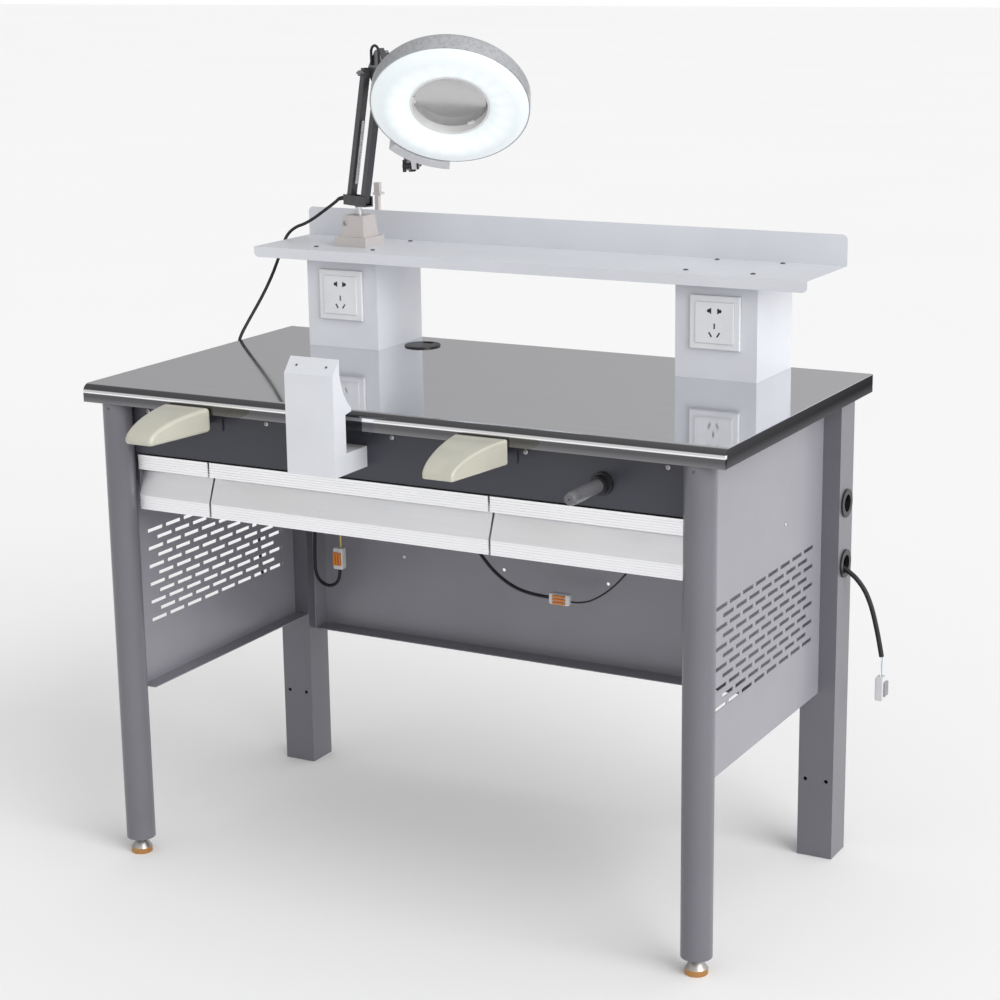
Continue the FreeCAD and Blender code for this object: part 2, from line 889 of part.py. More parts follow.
def make_drawer(name, bay):
    """One drawer: an extruded grip front and a folded tray with rolled edges."""
    start, end, wall_low, wall_high = bay
    grip_low = d.drawer_height - d.band_height
    outline = band(size(0), d.rib_depth)
    outline += [
        (d.grip_depth, grip_low),
        (d.grip_depth, grip_low + d.grip_rise),
        (d.band_lip, grip_low + d.grip_rise),
        (d.band_lip, grip_low),
    ]
    outline += band(grip_low, d.rib_depth)
    outline += [(d.front_depth, d.drawer_height), (d.front_depth, 0)]
    front = padded("YZ_Plane", [outline], end - start, (start, drawer_front, drawer_bottom))
    node(front, f"drawer_{name}_front")
    wall = d.tray_wall
    clear = d.drawer_rail_lip + d.slide_gap
    low = (wall_low + clear, tray_start, tray_top - d.tray_height)
    high = (wall_high - clear, tray_start + d.tray_length, tray_top)
    outer = block(low, high)
    hollow = block([a + wall for a in low], (high[0] - wall, high[1] - wall, high[2] + wall))
    edges = []
    inset = d.housing_sheet + d.slide_gap
    for x_low, x_high in ((wall_low + inset, low[0]), (high[0], wall_high - inset)):
        edges.append(
            block(
                (x_low, tray_start + 2 * d.housing_sheet, rail_low + inset),
                (x_high, high[1], rail_low + d.drawer_rail_height - inset),
            )
        )
    node(fuse([cut(outer, [hollow])] + edges), f"drawer_{name}_tray")


def make_hood():
    """Sheet-metal dust hood: a duct from a mouth in its hollow back down to the fascia."""
    deep = d.hood_front.value + d.fascia_setback.value
    nose = d.hood_front.value - d.hood_nose_gap.value
    step = d.hood_front.value - d.hood_step.value
    nose_low = d.worktop_top.value + d.hood_nose_rise.value - hood_bottom.value
    nose_high = nose_low + d.hood_nose_edge.value
    fold = (d.worktop_top + d.hood_fold_rise - hood_bottom).value
    top = (d.worktop_top + d.hood_top_rise - hood_bottom).value
    top_back = d.hood_top_depth.value
    foot = d.hood_foot.value
    wall = d.hood_sheet.value

    def at(a, b):
        return Vector(0, a, b)

    hollow_mid = at(top_back + d.hood_hollow_back.value, nose_high + d.hood_hollow_rise.value)
    edges = [
        Part.LineSegment(at(0, 0), at(0, fold)),
        Part.LineSegment(at(0, fold), at(top_back, top)),
        Part.Arc(at(top_back, top), hollow_mid, at(nose, nose_high)),
        Part.LineSegment(at(nose, nose_high), at(nose, nose_low)),
        Part.LineSegment(at(nose, nose_low), at(step, nose_low - 2 * wall)),
        Part.LineSegment(at(step, nose_low - 2 * wall), at(step, foot)),
        Part.LineSegment(at(step, foot), at(deep, foot)),
        Part.LineSegment(at(deep, foot), at(deep, 0)),
        Part.LineSegment(at(deep, 0), at(0, 0)),
    ]
    face = Part.Face(Part.Wire([edge.toShape() for edge in edges]))
    width = d.hood_width.value
    outer = face.extrude(Vector(width, 0, 0))
    inner = face.makeOffset2D(-wall).extrude(Vector(width - 2 * wall, 0, 0))
    inner.translate(Vector(wall, 0, 0))
    way_out = Part.makeBox(width - 2 * wall, 3 * wall, foot - 2 * wall, Vector(wall, deep - 2 * wall, wall))
    margin = d.hood_mouth_margin.value
    mouth_corner = Vector(margin, top_back, nose_high + margin)
    mouth = Part.makeBox(width - 2 * margin, nose, d.hood_mouth_height.value, mouth_corner)
    corner = Vector((middle_x - d.hood_width / 2).value, (edge_front - d.hood_front).value, hood_bottom.value)
    node(shaped(outer.cut(inner).cut(way_out).cut(mouth), Placement(corner, Rotation())), "dust_hood")


def make_rest(name, side):
    """Cream plastic finger rest: a crowned wedge that narrows to a thin lip, on a steel tongue."""
    reach = d.rest_reach.value
    lip = d.rest_lip.value
    tip = Vector(0, -reach, 0)
    lip_top = Vector(0, -reach, lip)
    back_top = Vector(0, 0, d.rest_height.value)
    base = Vector(0, 0, 0)
    crown = Part.Ellipse(lip_top, back_top, Vector(0, 0, lip))
    wire = Part.Wire(
        [
            Part.ArcOfEllipse(crown, 0, math.pi / 2).toShape(),
            Part.LineSegment(back_top, base).toShape(),
            Part.LineSegment(base, tip).toShape(),
            Part.LineSegment(tip, lip_top).toShape(),
        ]
    )
    half_back = d.rest_back_width.value / 2
    half_tip = d.rest_tip_width.value / 2
    body = Part.Face(wire).extrude(Vector(2 * half_back, 0, 0))
    body.translate(Vector(-half_back, 0, 0))
    plan = [
        Vector(-half_back, 0, 0),
        Vector(half_back, 0, 0),
        Vector(half_tip, -reach, 0),
        Vector(-half_tip, -reach, 0),
    ]
    prism = Part.Face(Part.makePolygon(plan + plan[:1])).extrude(Vector(0, 0, d.rest_height.value))
    body = body.common(prism)
    slot = Part.makeBox(
        d.tongue_width.value,
        d.tongue_bite.value,
        d.tongue_height.value,
        Vector(-d.tongue_width.value / 2, -d.tongue_bite.value, tongue_rise.value),
    )
    x = middle_x.value + side * d.rest_spread.value
    spot = Vector(x, (edge_front - d.rest_gap).value, rest_bottom.value)
    node(shaped(body.cut(slot), Placement(spot, Rotation())), f"finger_rest_{name}")
    low = rest_bottom + tongue_rise
    half = d.tongue_width / 2
    x_size = middle_x + side * d.rest_spread
    tongue = block(
        (x_size - half, edge_front - d.rest_gap - d.tongue_bite, low),
        (x_size + half, fascia_front, low + d.tongue_height),
    )
    plate = block(
        (x_size - 2 * half, fascia_front - d.tongue_plate, low - d.tongue_height),
        (x_size + 2 * half, fascia_front, worktop_under - d.tongue_plate),
    )
    return fuse([tongue, plate])


def make_air_gun():
    """Pull-out air gun in a flanged socket of the fascia, lying along the operator's direction."""
    to_front = Rotation(Vector(1, 0, 0), 90)
    spot = (gun_x, fascia_front, gun_height)
    bore = d.gun_radius + d.running_fit
    holder = [
        (bore, -d.gun_depth),
        (gun_tail_radius, -d.gun_depth),
        (gun_tail_radius, 0),
        (d.gun_flange_radius, 0),
        (d.gun_flange_radius, d.gun_flange),
        (d.gun_collar_radius, d.gun_flange),
        (d.gun_collar_radius, d.gun_flange + d.gun_collar),
        (bore, d.gun_flange + d.gun_collar),
    ]
    socket = turned(holder, (0, 0, 0))
    socket.Placement = Placement(Vector(), to_front)
    node(place(socket, spot), "air_gun_holder")
    radius = d.gun_radius
    tip = d.gun_reach
    ring = tip - d.gun_groove_back
    jet = d.gun_jet_radius
    gun = [
        (0, d.seat_gap - d.gun_depth),
        (radius, d.seat_gap - d.gun_depth),
        (radius, ring),
        (radius - jet, ring),
        (radius - jet, ring + jet),
        (radius, ring + jet),
        (radius, tip - d.gun_flange),
        (d.gun_nose_radius, tip),
        (jet, tip),
        (jet, tip - d.gun_flange),
        (0, tip - d.gun_flange),
    ]
    body = turned(gun, (0, 0, 0))
    body.Placement = Placement(Vector(), to_front)
    node(place(body, spot), "air_gun")


def make_post(name, side):
    """Sheet post that carries the shelf, with a window for its mains socket."""
    x = side * post_spread
    half = d.post_width / 2
    low = (x - half, post_front, d.worktop_top)
    high = (x + half, post_back, shelf_under)
    tube = tube_block(low, high, d.post_sheet, 2)
    cut_half = d.socket_cutout / 2
    window = block(
        (x - cut_half, post_front - d.post_sheet, socket_middle - cut_half),
        (x + cut_half, post_front + 2 * d.post_sheet, socket_middle + cut_half),
    )
    node(cut(tube, [window]), f"post_{name}")


def make_socket(side):
    """One socket: a bevelled frame, and an insert with two-pin and three-pin openings."""
    x = side * post_spread
    half = d.socket_side / 2
    core = d.socket_cutout / 2 - d.seat_gap
    mid = socket_middle
    front = post_front - d.socket_plate
    plate = block((x - half, front, mid - half), (x + half, post_front, mid + half))
    spare = d.socket_plate
    window = block((x - core, front - spare, mid - core), (x + core, post_front + spare, mid + core))
    frame = cut(plate, [window])
    face = front - d.socket_face
    insert = block((x - core, face, mid - core), (x + core, post_front + d.socket_box, mid + core))
    wide = d.pin_slot_width.value
    high = d.pin_slot_height.value
    deep = d.pin_slot_depth.value
    spread = d.pin_spread.value
    lean = d.pin_lean.value
    two_pin = d.two_pin_rise.value
    three_pin = -d.three_pin_drop.value
    openings = [
        (-spread, two_pin, 0),
        (spread, two_pin, 0),
        (-spread, three_pin, lean),
        (spread, three_pin, -lean),
        (0, -d.earth_pin_drop.value, 0),
    ]
    slots = []
    for across, up, turn in openings:
        slot = Part.makeBox(wide, 2 * deep, high, Vector(-wide / 2, -deep, -high / 2))
        spot = Vector(x.value + across, face.value, mid.value + up)
        slots.append(shaped(slot, Placement(spot, Rotation(Vector(0, 1, 0), turn))))
    return frame, cut(insert, slots)


def make_shelf():
    """Folded shelf with a front lip turned down, a back upstand, and rounded corners."""
    wall = d.shelf_sheet
    deep = d.shelf_depth
    outline = [
        (0, wall - d.shelf_lip),
        (wall, wall - d.shelf_lip),
        (wall, 0),
        (deep, 0),
        (deep, wall + d.shelf_upstand),
        (deep - wall, wall + d.shelf_upstand),
        (deep - wall, wall),
        (0, wall),
    ]
    half = shelf_length / 2
    body = padded("YZ_Plane", [outline], shelf_length, (-half, edge_back - deep, shelf_under))
    pad = body.Tip
    names = []
    for index, edge in enumerate(pad.Shape.Edges, 1):
        ends = edge.BoundBox
        short = abs(edge.Length - wall.value) < 1e-6 and ends.YLength > 0.5 * wall.value
        lip = abs(ends.ZMin - (wall - d.shelf_lip).value) < 1e-6
        crest = abs(ends.ZMin - (wall + d.shelf_upstand).value) < 1e-6
        if short and (lip or crest):
            names.append(f"Edge{index}")
    fillet = body.newObject("PartDesign::Fillet", "corners")
    fillet.Base = (pad, names)
    fillet.setExpression("Radius", d.shelf_corner.text)
    body.Tip = fillet
    node(body, "shelf")
    heads = []
    for side in SIDES.values():
        for across in (-1, 1):
            for along in (-1, 1):
                spot = (
                    side * post_spread + across * d.shelf_screw_x,
                    post_y + along * d.shelf_screw_y,
                    shelf_top,
                )
                heads.append(rod(d.screw_head_radius, spot, d.screw_head))
    return heads


def make_hook():
    """Small tool hook on the back of the shelf's upstand: a strip, a ledge and a leaning head."""
    half = d.hook_width / 2
    x = hook_x
    low = shelf_top + d.hook_seat
    ledge = hook_top - d.hook_head
    thick = d.hook_strip
    strip = block((x - half / 2, edge_back, low), (x + half / 2, edge_back + thick, ledge))
    plate = block((x - half, edge_back, ledge), (x + half, edge_back + d.hook_reach, ledge + thick / 2))
    head_low = (x - half, edge_back + thick / 2, ledge)
    head = block(head_low, (x + half / 2, edge_back + thick * 1.5, hook_top))
    node(fuse([strip, plate, head]), "tool_hook")


# The lamp's arm lies in an upright plane turned by arm_turn about the base: u forwards, v across, z up
arm_frame = Placement(
    Vector(lamp_x.value, lamp_y.value, 0), Rotation(Vector(0, 0, 1), d.arm_turn.value)
)
half_tube = d.tube_side.value / 2
plate_half = d.elbow_plate.value / 2
lower_v = -(plate_half + d.side_gap.value + half_tube)
upper_v = -lower_v
lean = math.radians(d.lower_arm_lean.value)
drop = math.radians(d.upper_arm_drop.value)
lower_run = Vector(math.sin(lean), 0, math.cos(lean)) * d.lower_arm_length.value
upper_run = Vector(math.cos(drop), 0, -math.sin(drop)) * d.upper_arm_length.value
base_rear = Vector(d.lower_pivot_rear.value, 0, (shelf_top + d.lower_pivot_rise).value)
base_front = base_rear + Vector(d.lower_pivot_spacing.value, 0, 0)
elbow_rear = base_rear + lower_run
elbow_front = base_front + lower_run
elbow_top = elbow_rear + Vector(d.upper_pivot_out.value, 0, d.upper_pivot_up.value)
head_top = elbow_top + upper_run
head_low = elbow_rear + upper_run


def cross_pin(radius, point, v_low, v_high):
    """Make a round pin across the arm plane."""
    return Part.makeCylinder(radius, v_high - v_low, Vector(point.x, v_low, point.z), Vector(0, 1, 0))


def link_tube(start, end, v, open_end):
    """Make one square arm tube between two pivots; the pin hole at open_end is wider."""
    run = end - start
    spare = d.tube_end.value
    side = d.tube_side.value
    wall = d.tube_wall.value
    length = run.Length + 2 * spare
    outer = Part.makeBox(length, side, side, Vector(-spare, -side / 2, -side / 2))
    inner_side = side - 2 * wall
    inner_corner = Vector(-spare - wall, -inner_side / 2, -inner_side / 2)
    inner = Part.makeBox(length + 2 * wall, inner_side, inner_side, inner_corner)
    tube = outer.cut(inner)
    for at, wide in ((0, open_end == "start"), (run.Length, open_end == "end")):
        fit = d.open_pivot_fit.value if wide else d.running_fit.value
        hole = Part.makeCylinder(d.pin_radius.value + fit, 2 * side, Vector(at, -side, 0), Vector(0, 1, 0))
        tube = tube.cut(hole)
    angle = math.degrees(math.atan2(run.z, run.x))
    stand = Placement(Vector(start.x, v, start.z), Rotation(Vector(0, 1, 0), -angle))
    return shaped(tube, arm_frame.multiply(stand)), stand


def rounded_plate(points, radius, v_low, v_high):
    """Make a plate round several pivots: the hull of equal discs, as discs joined by blocks."""
    solid = None
    for point in points:
        disc = cross_pin(radius, point, v_low, v_high)
        solid = disc if solid is None else solid.fuse(disc)
    count = len(points)
    for i in range(count):
        a = points[i]
        b = points[(i + 1) % count]
        run = b - a
        bar = Part.makeBox(run.Length, v_high - v_low, 2 * radius, Vector(0, 0, -radius))
        angle = math.degrees(math.atan2(run.z, run.x))
        bar.Placement = Placement(Vector(a.x, v_low, a.z), Rotation(Vector(0, 1, 0), -angle))
        solid = solid.fuse(bar)
    if count > 2:
        corners = [Vector(p.x, v_low, p.z) for p in points]
        core = Part.Face(Part.makePolygon(corners + corners[:1])).extrude(Vector(0, v_high - v_low, 0))
        solid = solid.fuse(core)
    return solid.removeSplitter()


def wing_nut(point, v_low, v_high):
    """Make a wing nut on the end of a pivot pin: a hub with two flat ears."""
    hub = cross_pin(d.nut_hub_radius.value, point, v_low, v_high)
    span_value = d.nut_span.value
    deep = d.nut_ear_depth.value
    high = d.nut_ear.value
    ear_corner = Vector(point.x - span_value / 2, (v_low + v_high - deep) / 2, point.z - high / 2)
    ear = Part.makeBox(span_value, deep, high, ear_corner)
    return hub.fuse(ear)


def make_lamp_base():
    """Moulded lamp foot on the shelf: a square plinth under a tapering block, bored for the rod."""
    half = d.base_side / 2
    plinth_top = shelf_top + d.base_plinth
    top = shelf_top + d.base_height
    plinth = block((lamp_x - half, lamp_y - half, shelf_top), (lamp_x + half, lamp_y + half, plinth_top))
    block_part = doc.addObject("Part::Wedge", "taper")
    low = d.base_lower / 2
    high = d.base_upper / 2
    limits = {
        "Xmin": -low, "Xmax": low, "Zmin": -low, "Zmax": low,
        "X2min": -high, "X2max": high, "Z2min": -high, "Z2max": high,
        "Ymin": size(0), "Ymax": d.base_height - d.base_plinth,
    }
    for prop, value in limits.items():
        block_part.setExpression(prop, value.text)
    block_part.Placement = Placement(Vector(), Rotation(Vector(1, 0, 0), 90))
    place(block_part, (lamp_x, lamp_y, plinth_top))
    bore = rod(d.rod_radius + d.running_fit, (lamp_x, lamp_y, top - d.rod_depth), 2 * d.rod_depth)
    node(cut(fuse([plinth, block_part]), [bore]), "lamp_base")


def make_lamp_swivel():
    """Swivelling rod with the lower arm's forked bracket and pins, and a gland rounded about the rod."""
    plate = d.bracket_plate.value
    pin = d.pin_radius.value
    near = lower_v + half_tube + d.side_gap.value
    far = lower_v - half_tube - d.side_gap.value
    swing = math.hypot(d.tube_end.value, half_tube) + 2 * d.side_gap.value
    floor_high = base_rear.z - swing
    web_low = floor_high - plate
    u_low = base_rear.x - swing - plate
    u_high = base_front.x + swing
    wide = near - far + 2 * plate
    web = Part.makeBox(u_high - u_low, wide, plate, Vector(u_low, far - plate, web_low))
    back = Part.makeBox(plate, wide, base_rear.z + pin - web_low, Vector(u_low, far - plate, web_low))
    solid = web.fuse(back)
    tall = base_rear.z + 2 * pin - web_low
    for v_low in (far - plate, near):
        cheek = Part.makeBox(u_high - u_low, plate, tall, Vector(u_low, v_low, web_low))
        solid = solid.fuse(cheek)
    for pivot in (base_rear, base_front):
        solid = solid.fuse(cross_pin(pin, pivot, far - plate, near + plate))
    rod_low = shelf_top.value + d.base_height.value - d.rod_depth.value + d.rod_end_gap.value
    shaft = Part.makeCylinder(d.rod_radius.value, web_low - rod_low, Vector(0, 0, rod_low))
    collar_low = shelf_top.value + d.base_height.value + d.seat_gap.value
    collar = Part.makeCylinder(d.rod_collar_radius.value, d.rod_collar.value, Vector(0, 0, collar_low))
    gland_root = Vector(u_low, lower_v, base_rear.z - pin)
    gland_radius = d.cord_radius.value + 2 * d.tube_wall.value
    sweep = math.hypot(u_low - d.gland_length.value, lower_v)
    gland = Part.makeCylinder(gland_radius, 2 * d.gland_length.value, gland_root, Vector(-1, 0, 0))
    room_low = Vector(0, 0, gland_root.z - 2 * gland_radius)
    room = Part.makeCylinder(sweep, 4 * gland_radius, room_low)
    solid = solid.fuse(shaft).fuse(collar).fuse(gland.common(room)).removeSplitter()
    node(shaped(solid, arm_frame), "lamp_swivel")
    near = d.cord_radius.value - abs(lower_v)
    start = math.sqrt((sweep + d.seat_gap.value) ** 2 - near ** 2)
    return Vector(-start, gland_root.y, gland_root.z)


def biarc(p0, t0, p1, t1):
    """Return two arcs that join two points with given unit tangents, smooth where they meet."""
    v = p1 - p0
    both = t0 + t1
    spread = 1 - t0.dot(t1)
    reach = (-v.dot(both) + math.sqrt(v.dot(both) ** 2 + 2 * spread * v.dot(v))) / (2 * spread)
    q0 = p0 + t0 * reach
    q1 = p1 - t1 * reach
    joint = (q0 + q1) * 0.5
    arcs = []
    for a, corner, b in ((p0, q0, joint), (joint, q1, p1)):
        chord_mid = (a + b) * 0.5
        half = (b - a).Length / 2
        high = (corner - chord_mid).Length
        half_turn = math.atan2(high, half)
        through = chord_mid + (corner - chord_mid) * (math.tan(half_turn / 2) / math.tan(half_turn))
        arcs.append(Part.Arc(a, through, b))
    return arcs


def least_gap(path, apart, wire):
    """Measure, on points along a coil's path, the least gap between stretches half a turn or more apart."""
    points = path.discretize(Distance=wire)
    step = path.Length / (len(points) - 1)
    skip = math.ceil(apart / step)
    near = min(
        point.distanceToPoint(other)
        for i, point in enumerate(points)
        for other in points[i + skip:]
    )
    return near - 2 * wire


def make_spring(turns, start, offset_side, stand, label):
    """Balance spring beside an arm tube: one wire, its ends running straight into the tube's wall."""
    radius = d.spring_radius.value - d.spring_wire.value
    wire = d.spring_wire.value
    pitch = d.spring_pitch.value
    centre = offset_side * (half_tube + d.side_gap.value + d.spring_radius.value)
    steps = 4 * int(turns) + 2

    def on_coil(step):
        phase = step * math.pi / 2
        along = start + pitch * step / 4
        return Vector(along, -radius * math.cos(phase), centre + offset_side * radius * math.sin(phase))

    def heading(step):
        if step in (0, steps):
            slope = 0
        else:
            slope = pitch / 4
        phase = step * math.pi / 2
        quarter = radius * math.pi / 2
        flow = Vector(slope, quarter * math.sin(phase), offset_side * quarter * math.cos(phase))
        return flow.normalize()

    wall = offset_side * half_tube
    first = on_coil(0)
    last = on_coil(steps)
    pieces = [Part.LineSegment(Vector(first.x, first.y, wall), first)]
    for step in range(steps):
        pieces += biarc(on_coil(step), heading(step), on_coil(step + 1), heading(step + 1))
    pieces.append(Part.LineSegment(last, Vector(last.x, last.y, wall)))
    path = Part.Wire([piece.toShape() for piece in pieces])
    ring = Part.Wire([Part.Circle(Vector(first.x, first.y, wall), Vector(0, 0, offset_side), wire).toShape()])
    coil = path.makePipeShell([ring], True, False)
    gap = least_gap(path, math.pi * radius, wire)
    share = coil.Volume / (math.pi * wire ** 2 * path.Length)
    print(f"{label}: least gap to itself {gap:.2f} mm, volume ratio {share:.3f}")
    node(shaped(coil, arm_frame.multiply(stand)), label)


def make_arms():
    """Two-stage parallelogram arm: tubes, elbow plate with its pins and nuts, and the springs."""
    pin = d.pin_radius.value
    node(link_tube(base_front, elbow_front, lower_v, None)[0], "lower_tube_front")
    rear, stand = link_tube(base_rear, elbow_rear, lower_v, "end")
    node(rear, "lower_tube_rear")
    make_spring(d.lower_spring_turns.value, 4 * d.tube_end.value, -1, stand, "lower_spring")
    top, stand = link_tube(elbow_top, head_top, upper_v, None)
    node(top, "upper_tube_front")
    make_spring(d.upper_spring_turns.value, 4 * d.tube_end.value, -1, stand, "upper_spring")
    node(link_tube(elbow_rear, head_low, upper_v, "end")[0], "upper_tube_rear")
    boss = d.pivot_boss_radius.value
    plate = rounded_plate([elbow_rear, elbow_front, elbow_top], boss, -plate_half, plate_half)
    out = upper_v + half_tube + d.side_gap.value
    nut = d.nut_depth.value
    cap = d.pin_head.value
    cap_radius = d.pin_head_radius.value
    plate = plate.fuse(cross_pin(pin, elbow_rear, -out - nut, out + nut))
    plate = plate.fuse(cross_pin(pin, elbow_front, -out - cap, plate_half))
    plate = plate.fuse(cross_pin(pin, elbow_top, -plate_half, out + nut))
    plate = plate.fuse(wing_nut(elbow_rear, -out - nut, -out))
    plate = plate.fuse(wing_nut(elbow_top, out, out + nut))
    plate = plate.fuse(cross_pin(cap_radius, elbow_front, -out - cap, -out))
    plate = plate.fuse(cross_pin(cap_radius, elbow_rear, out, out + cap))
    node(shaped(plate.removeSplitter(), arm_frame), "elbow_plate")


def make_elbow_lead():
    """Lamp lead where it arches over the elbow, held on the elbow plate."""
    lead = d.lead_radius.value
    reach = d.lead_arch.value
    middle = elbow_top + Vector(0, -plate_half - lead, d.pin_radius.value)
    left = middle + Vector(-reach, 0, 0)
    right = middle + Vector(reach, 0, 0)
    down = Vector(0, 0, -2 * reach)
    path = Part.Wire(
        [
            Part.LineSegment(left + down, left).toShape(),
            Part.Arc(left, middle + Vector(0, 0, reach), right).toShape(),
            Part.LineSegment(right, right + down).toShape(),
        ]
    )
    ring = Part.Wire([Part.Circle(left + down, Vector(0, 0, 1), lead).toShape()])
    node(shaped(path.makePipeShell([ring], True, False), arm_frame), "elbow_lead")


# The head turns on an upright pin at boss_foot, and tilts on a level pin at tilt_point
boss_foot = Vector(head_low.x + d.boss_out.value, d.boss_side.value, head_low.z + d.boss_lift.value)
azimuth = math.radians(d.head_azimuth.value)
tilt = math.radians(d.head_tilt.value)
facing = Vector(math.cos(tilt) * math.cos(azimuth), math.cos(tilt) * math.sin(azimuth), -math.sin(tilt))
tilt_axis = Vector(math.sin(azimuth), -math.cos(azimuth), 0)
boss_spot = arm_frame.multVec(boss_foot)
yoke_frame = Placement(boss_spot, Rotation(Vector(0, 0, 1), d.head_azimuth.value))
bar_middle = -d.yoke_gap.value - d.yoke_height.value / 2
tilt_point = yoke_frame.multVec(Vector(d.yoke_reach.value, 0, bar_middle))
head_turn = Rotation(tilt_axis, facing.cross(tilt_axis), facing, "ZXY")
clock = math.radians(d.head_clock.value)
box_radius = d.head_radius.value + d.switch_radial.value
lug_far = box_radius + d.head_standoff.value
tilt_local = Vector(math.cos(clock), math.sin(clock), 0) * lug_far
head_frame = Placement(tilt_point - head_turn.multVec(tilt_local), head_turn)


def make_head_bracket():
    """Plate that closes the upper parallelogram, with its two pins and the upright boss of the head."""
    pin = d.pin_radius.value
    out = upper_v + half_tube + d.side_gap.value
    cap = d.pin_head.value
    solid = rounded_plate([head_top, head_low], d.pivot_boss_radius.value, -plate_half, plate_half)
    for point in (head_top, head_low):
        solid = solid.fuse(cross_pin(pin, point, -plate_half, out + cap))
        solid = solid.fuse(cross_pin(d.pin_head_radius.value, point, out, out + cap))
    boss = Part.makeCylinder(d.boss_radius.value, d.boss_height.value, boss_foot)
    web_low = min(head_low.x, boss_foot.x)
    web = Part.makeBox(
        boss_foot.x - web_low,
        2 * plate_half,
        d.boss_height.value,
        Vector(web_low, -plate_half, boss_foot.z),
    )
    arm = Part.makeBox(
        2 * plate_half,
        plate_half - boss_foot.y,
        d.boss_height.value,
        Vector(boss_foot.x - plate_half, boss_foot.y, boss_foot.z),
    )
    bore = Part.makeCylinder(
        d.yoke_pin.value + d.running_fit.value,
        3 * d.boss_height.value,
        boss_foot - Vector(0, 0, d.boss_height.value),
    )
    solid = solid.fuse(web).fuse(arm).fuse(boss).cut(bore)
    node(shaped(solid.removeSplitter(), arm_frame), "head_bracket")


def make_head_yoke():
    """Black yoke: a pin in the boss, a bar, and a fork that holds the lamp head by a wing screw."""
    high = d.yoke_height.value
    low = -d.yoke_gap.value - high
    reach = d.yoke_reach.value
    radius = d.lug_radius.value
    plate = d.fork_plate.value
    inside = d.lug_width.value / 2 + d.side_gap.value
    outside = inside + plate
    root = reach - radius - d.tube_end.value
    pin = Part.makeCylinder(d.yoke_pin.value, d.boss_height.value - low, Vector(0, 0, low))
    hub = Part.makeCylinder(d.boss_radius.value, high, Vector(0, 0, low))
    bar = Part.makeBox(root, high, high, Vector(0, -high / 2, low))
    bridge = Part.makeBox(plate, 2 * outside, high, Vector(root, -outside, low))
    solid = pin.fuse(hub).fuse(bar).fuse(bridge)
    middle = low + high / 2
    for y_low in (-outside, inside):
        cheek = Part.makeBox(reach - root, plate, high, Vector(root, y_low, low))
        eye = Part.makeCylinder(radius, plate, Vector(reach, y_low, middle), Vector(0, 1, 0))
        solid = solid.fuse(cheek).fuse(eye)
    screw = d.pin_radius.value
    knob_length = d.knob_length.value
    knob_low = -outside - knob_length
    stem = Part.makeCylinder(screw, outside - knob_low, Vector(reach, knob_low, middle), Vector(0, 1, 0))
    knob_start = Vector(reach, knob_low, middle)
    knob = Part.makeCylinder(d.knob_radius.value, knob_length, knob_start, Vector(0, 1, 0))
    tall = d.knob_span.value
    ears_corner = Vector(reach - screw / 2, knob_low, middle - tall / 2)
    ears = Part.makeBox(screw, d.knob_ear_depth.value, tall, ears_corner)
    solid = solid.fuse(stem).fuse(knob).fuse(ears)
    node(shaped(solid.removeSplitter(), yoke_frame), "head_yoke")


def bulge(start, end, corner):
    """Return the point an arc passes through between two ends, drawn out towards a corner."""
    middle = (start + end) * 0.5
    return middle + (corner - middle) * (math.sqrt(2) - 1)


def revolved(points, arcs):
    """Revolve a closed outline of (radius, depth) points; arcs maps a point's index to its arc's middle."""
    edges = []
    count = len(points)
    for i in range(count):
        a = points[i - 1]
        b = points[i]
        if i in arcs:
            edges.append(Part.Arc(a, arcs[i], b).toShape())
        else:
            edges.append(Part.LineSegment(a, b).toShape())
    return Part.Face(Part.Wire(edges)).revolve(Vector(), Vector(0, 0, 1), 360)


def flat(radius, depth):
    """Return a point of a head profile."""
    return Vector(radius, 0, depth)


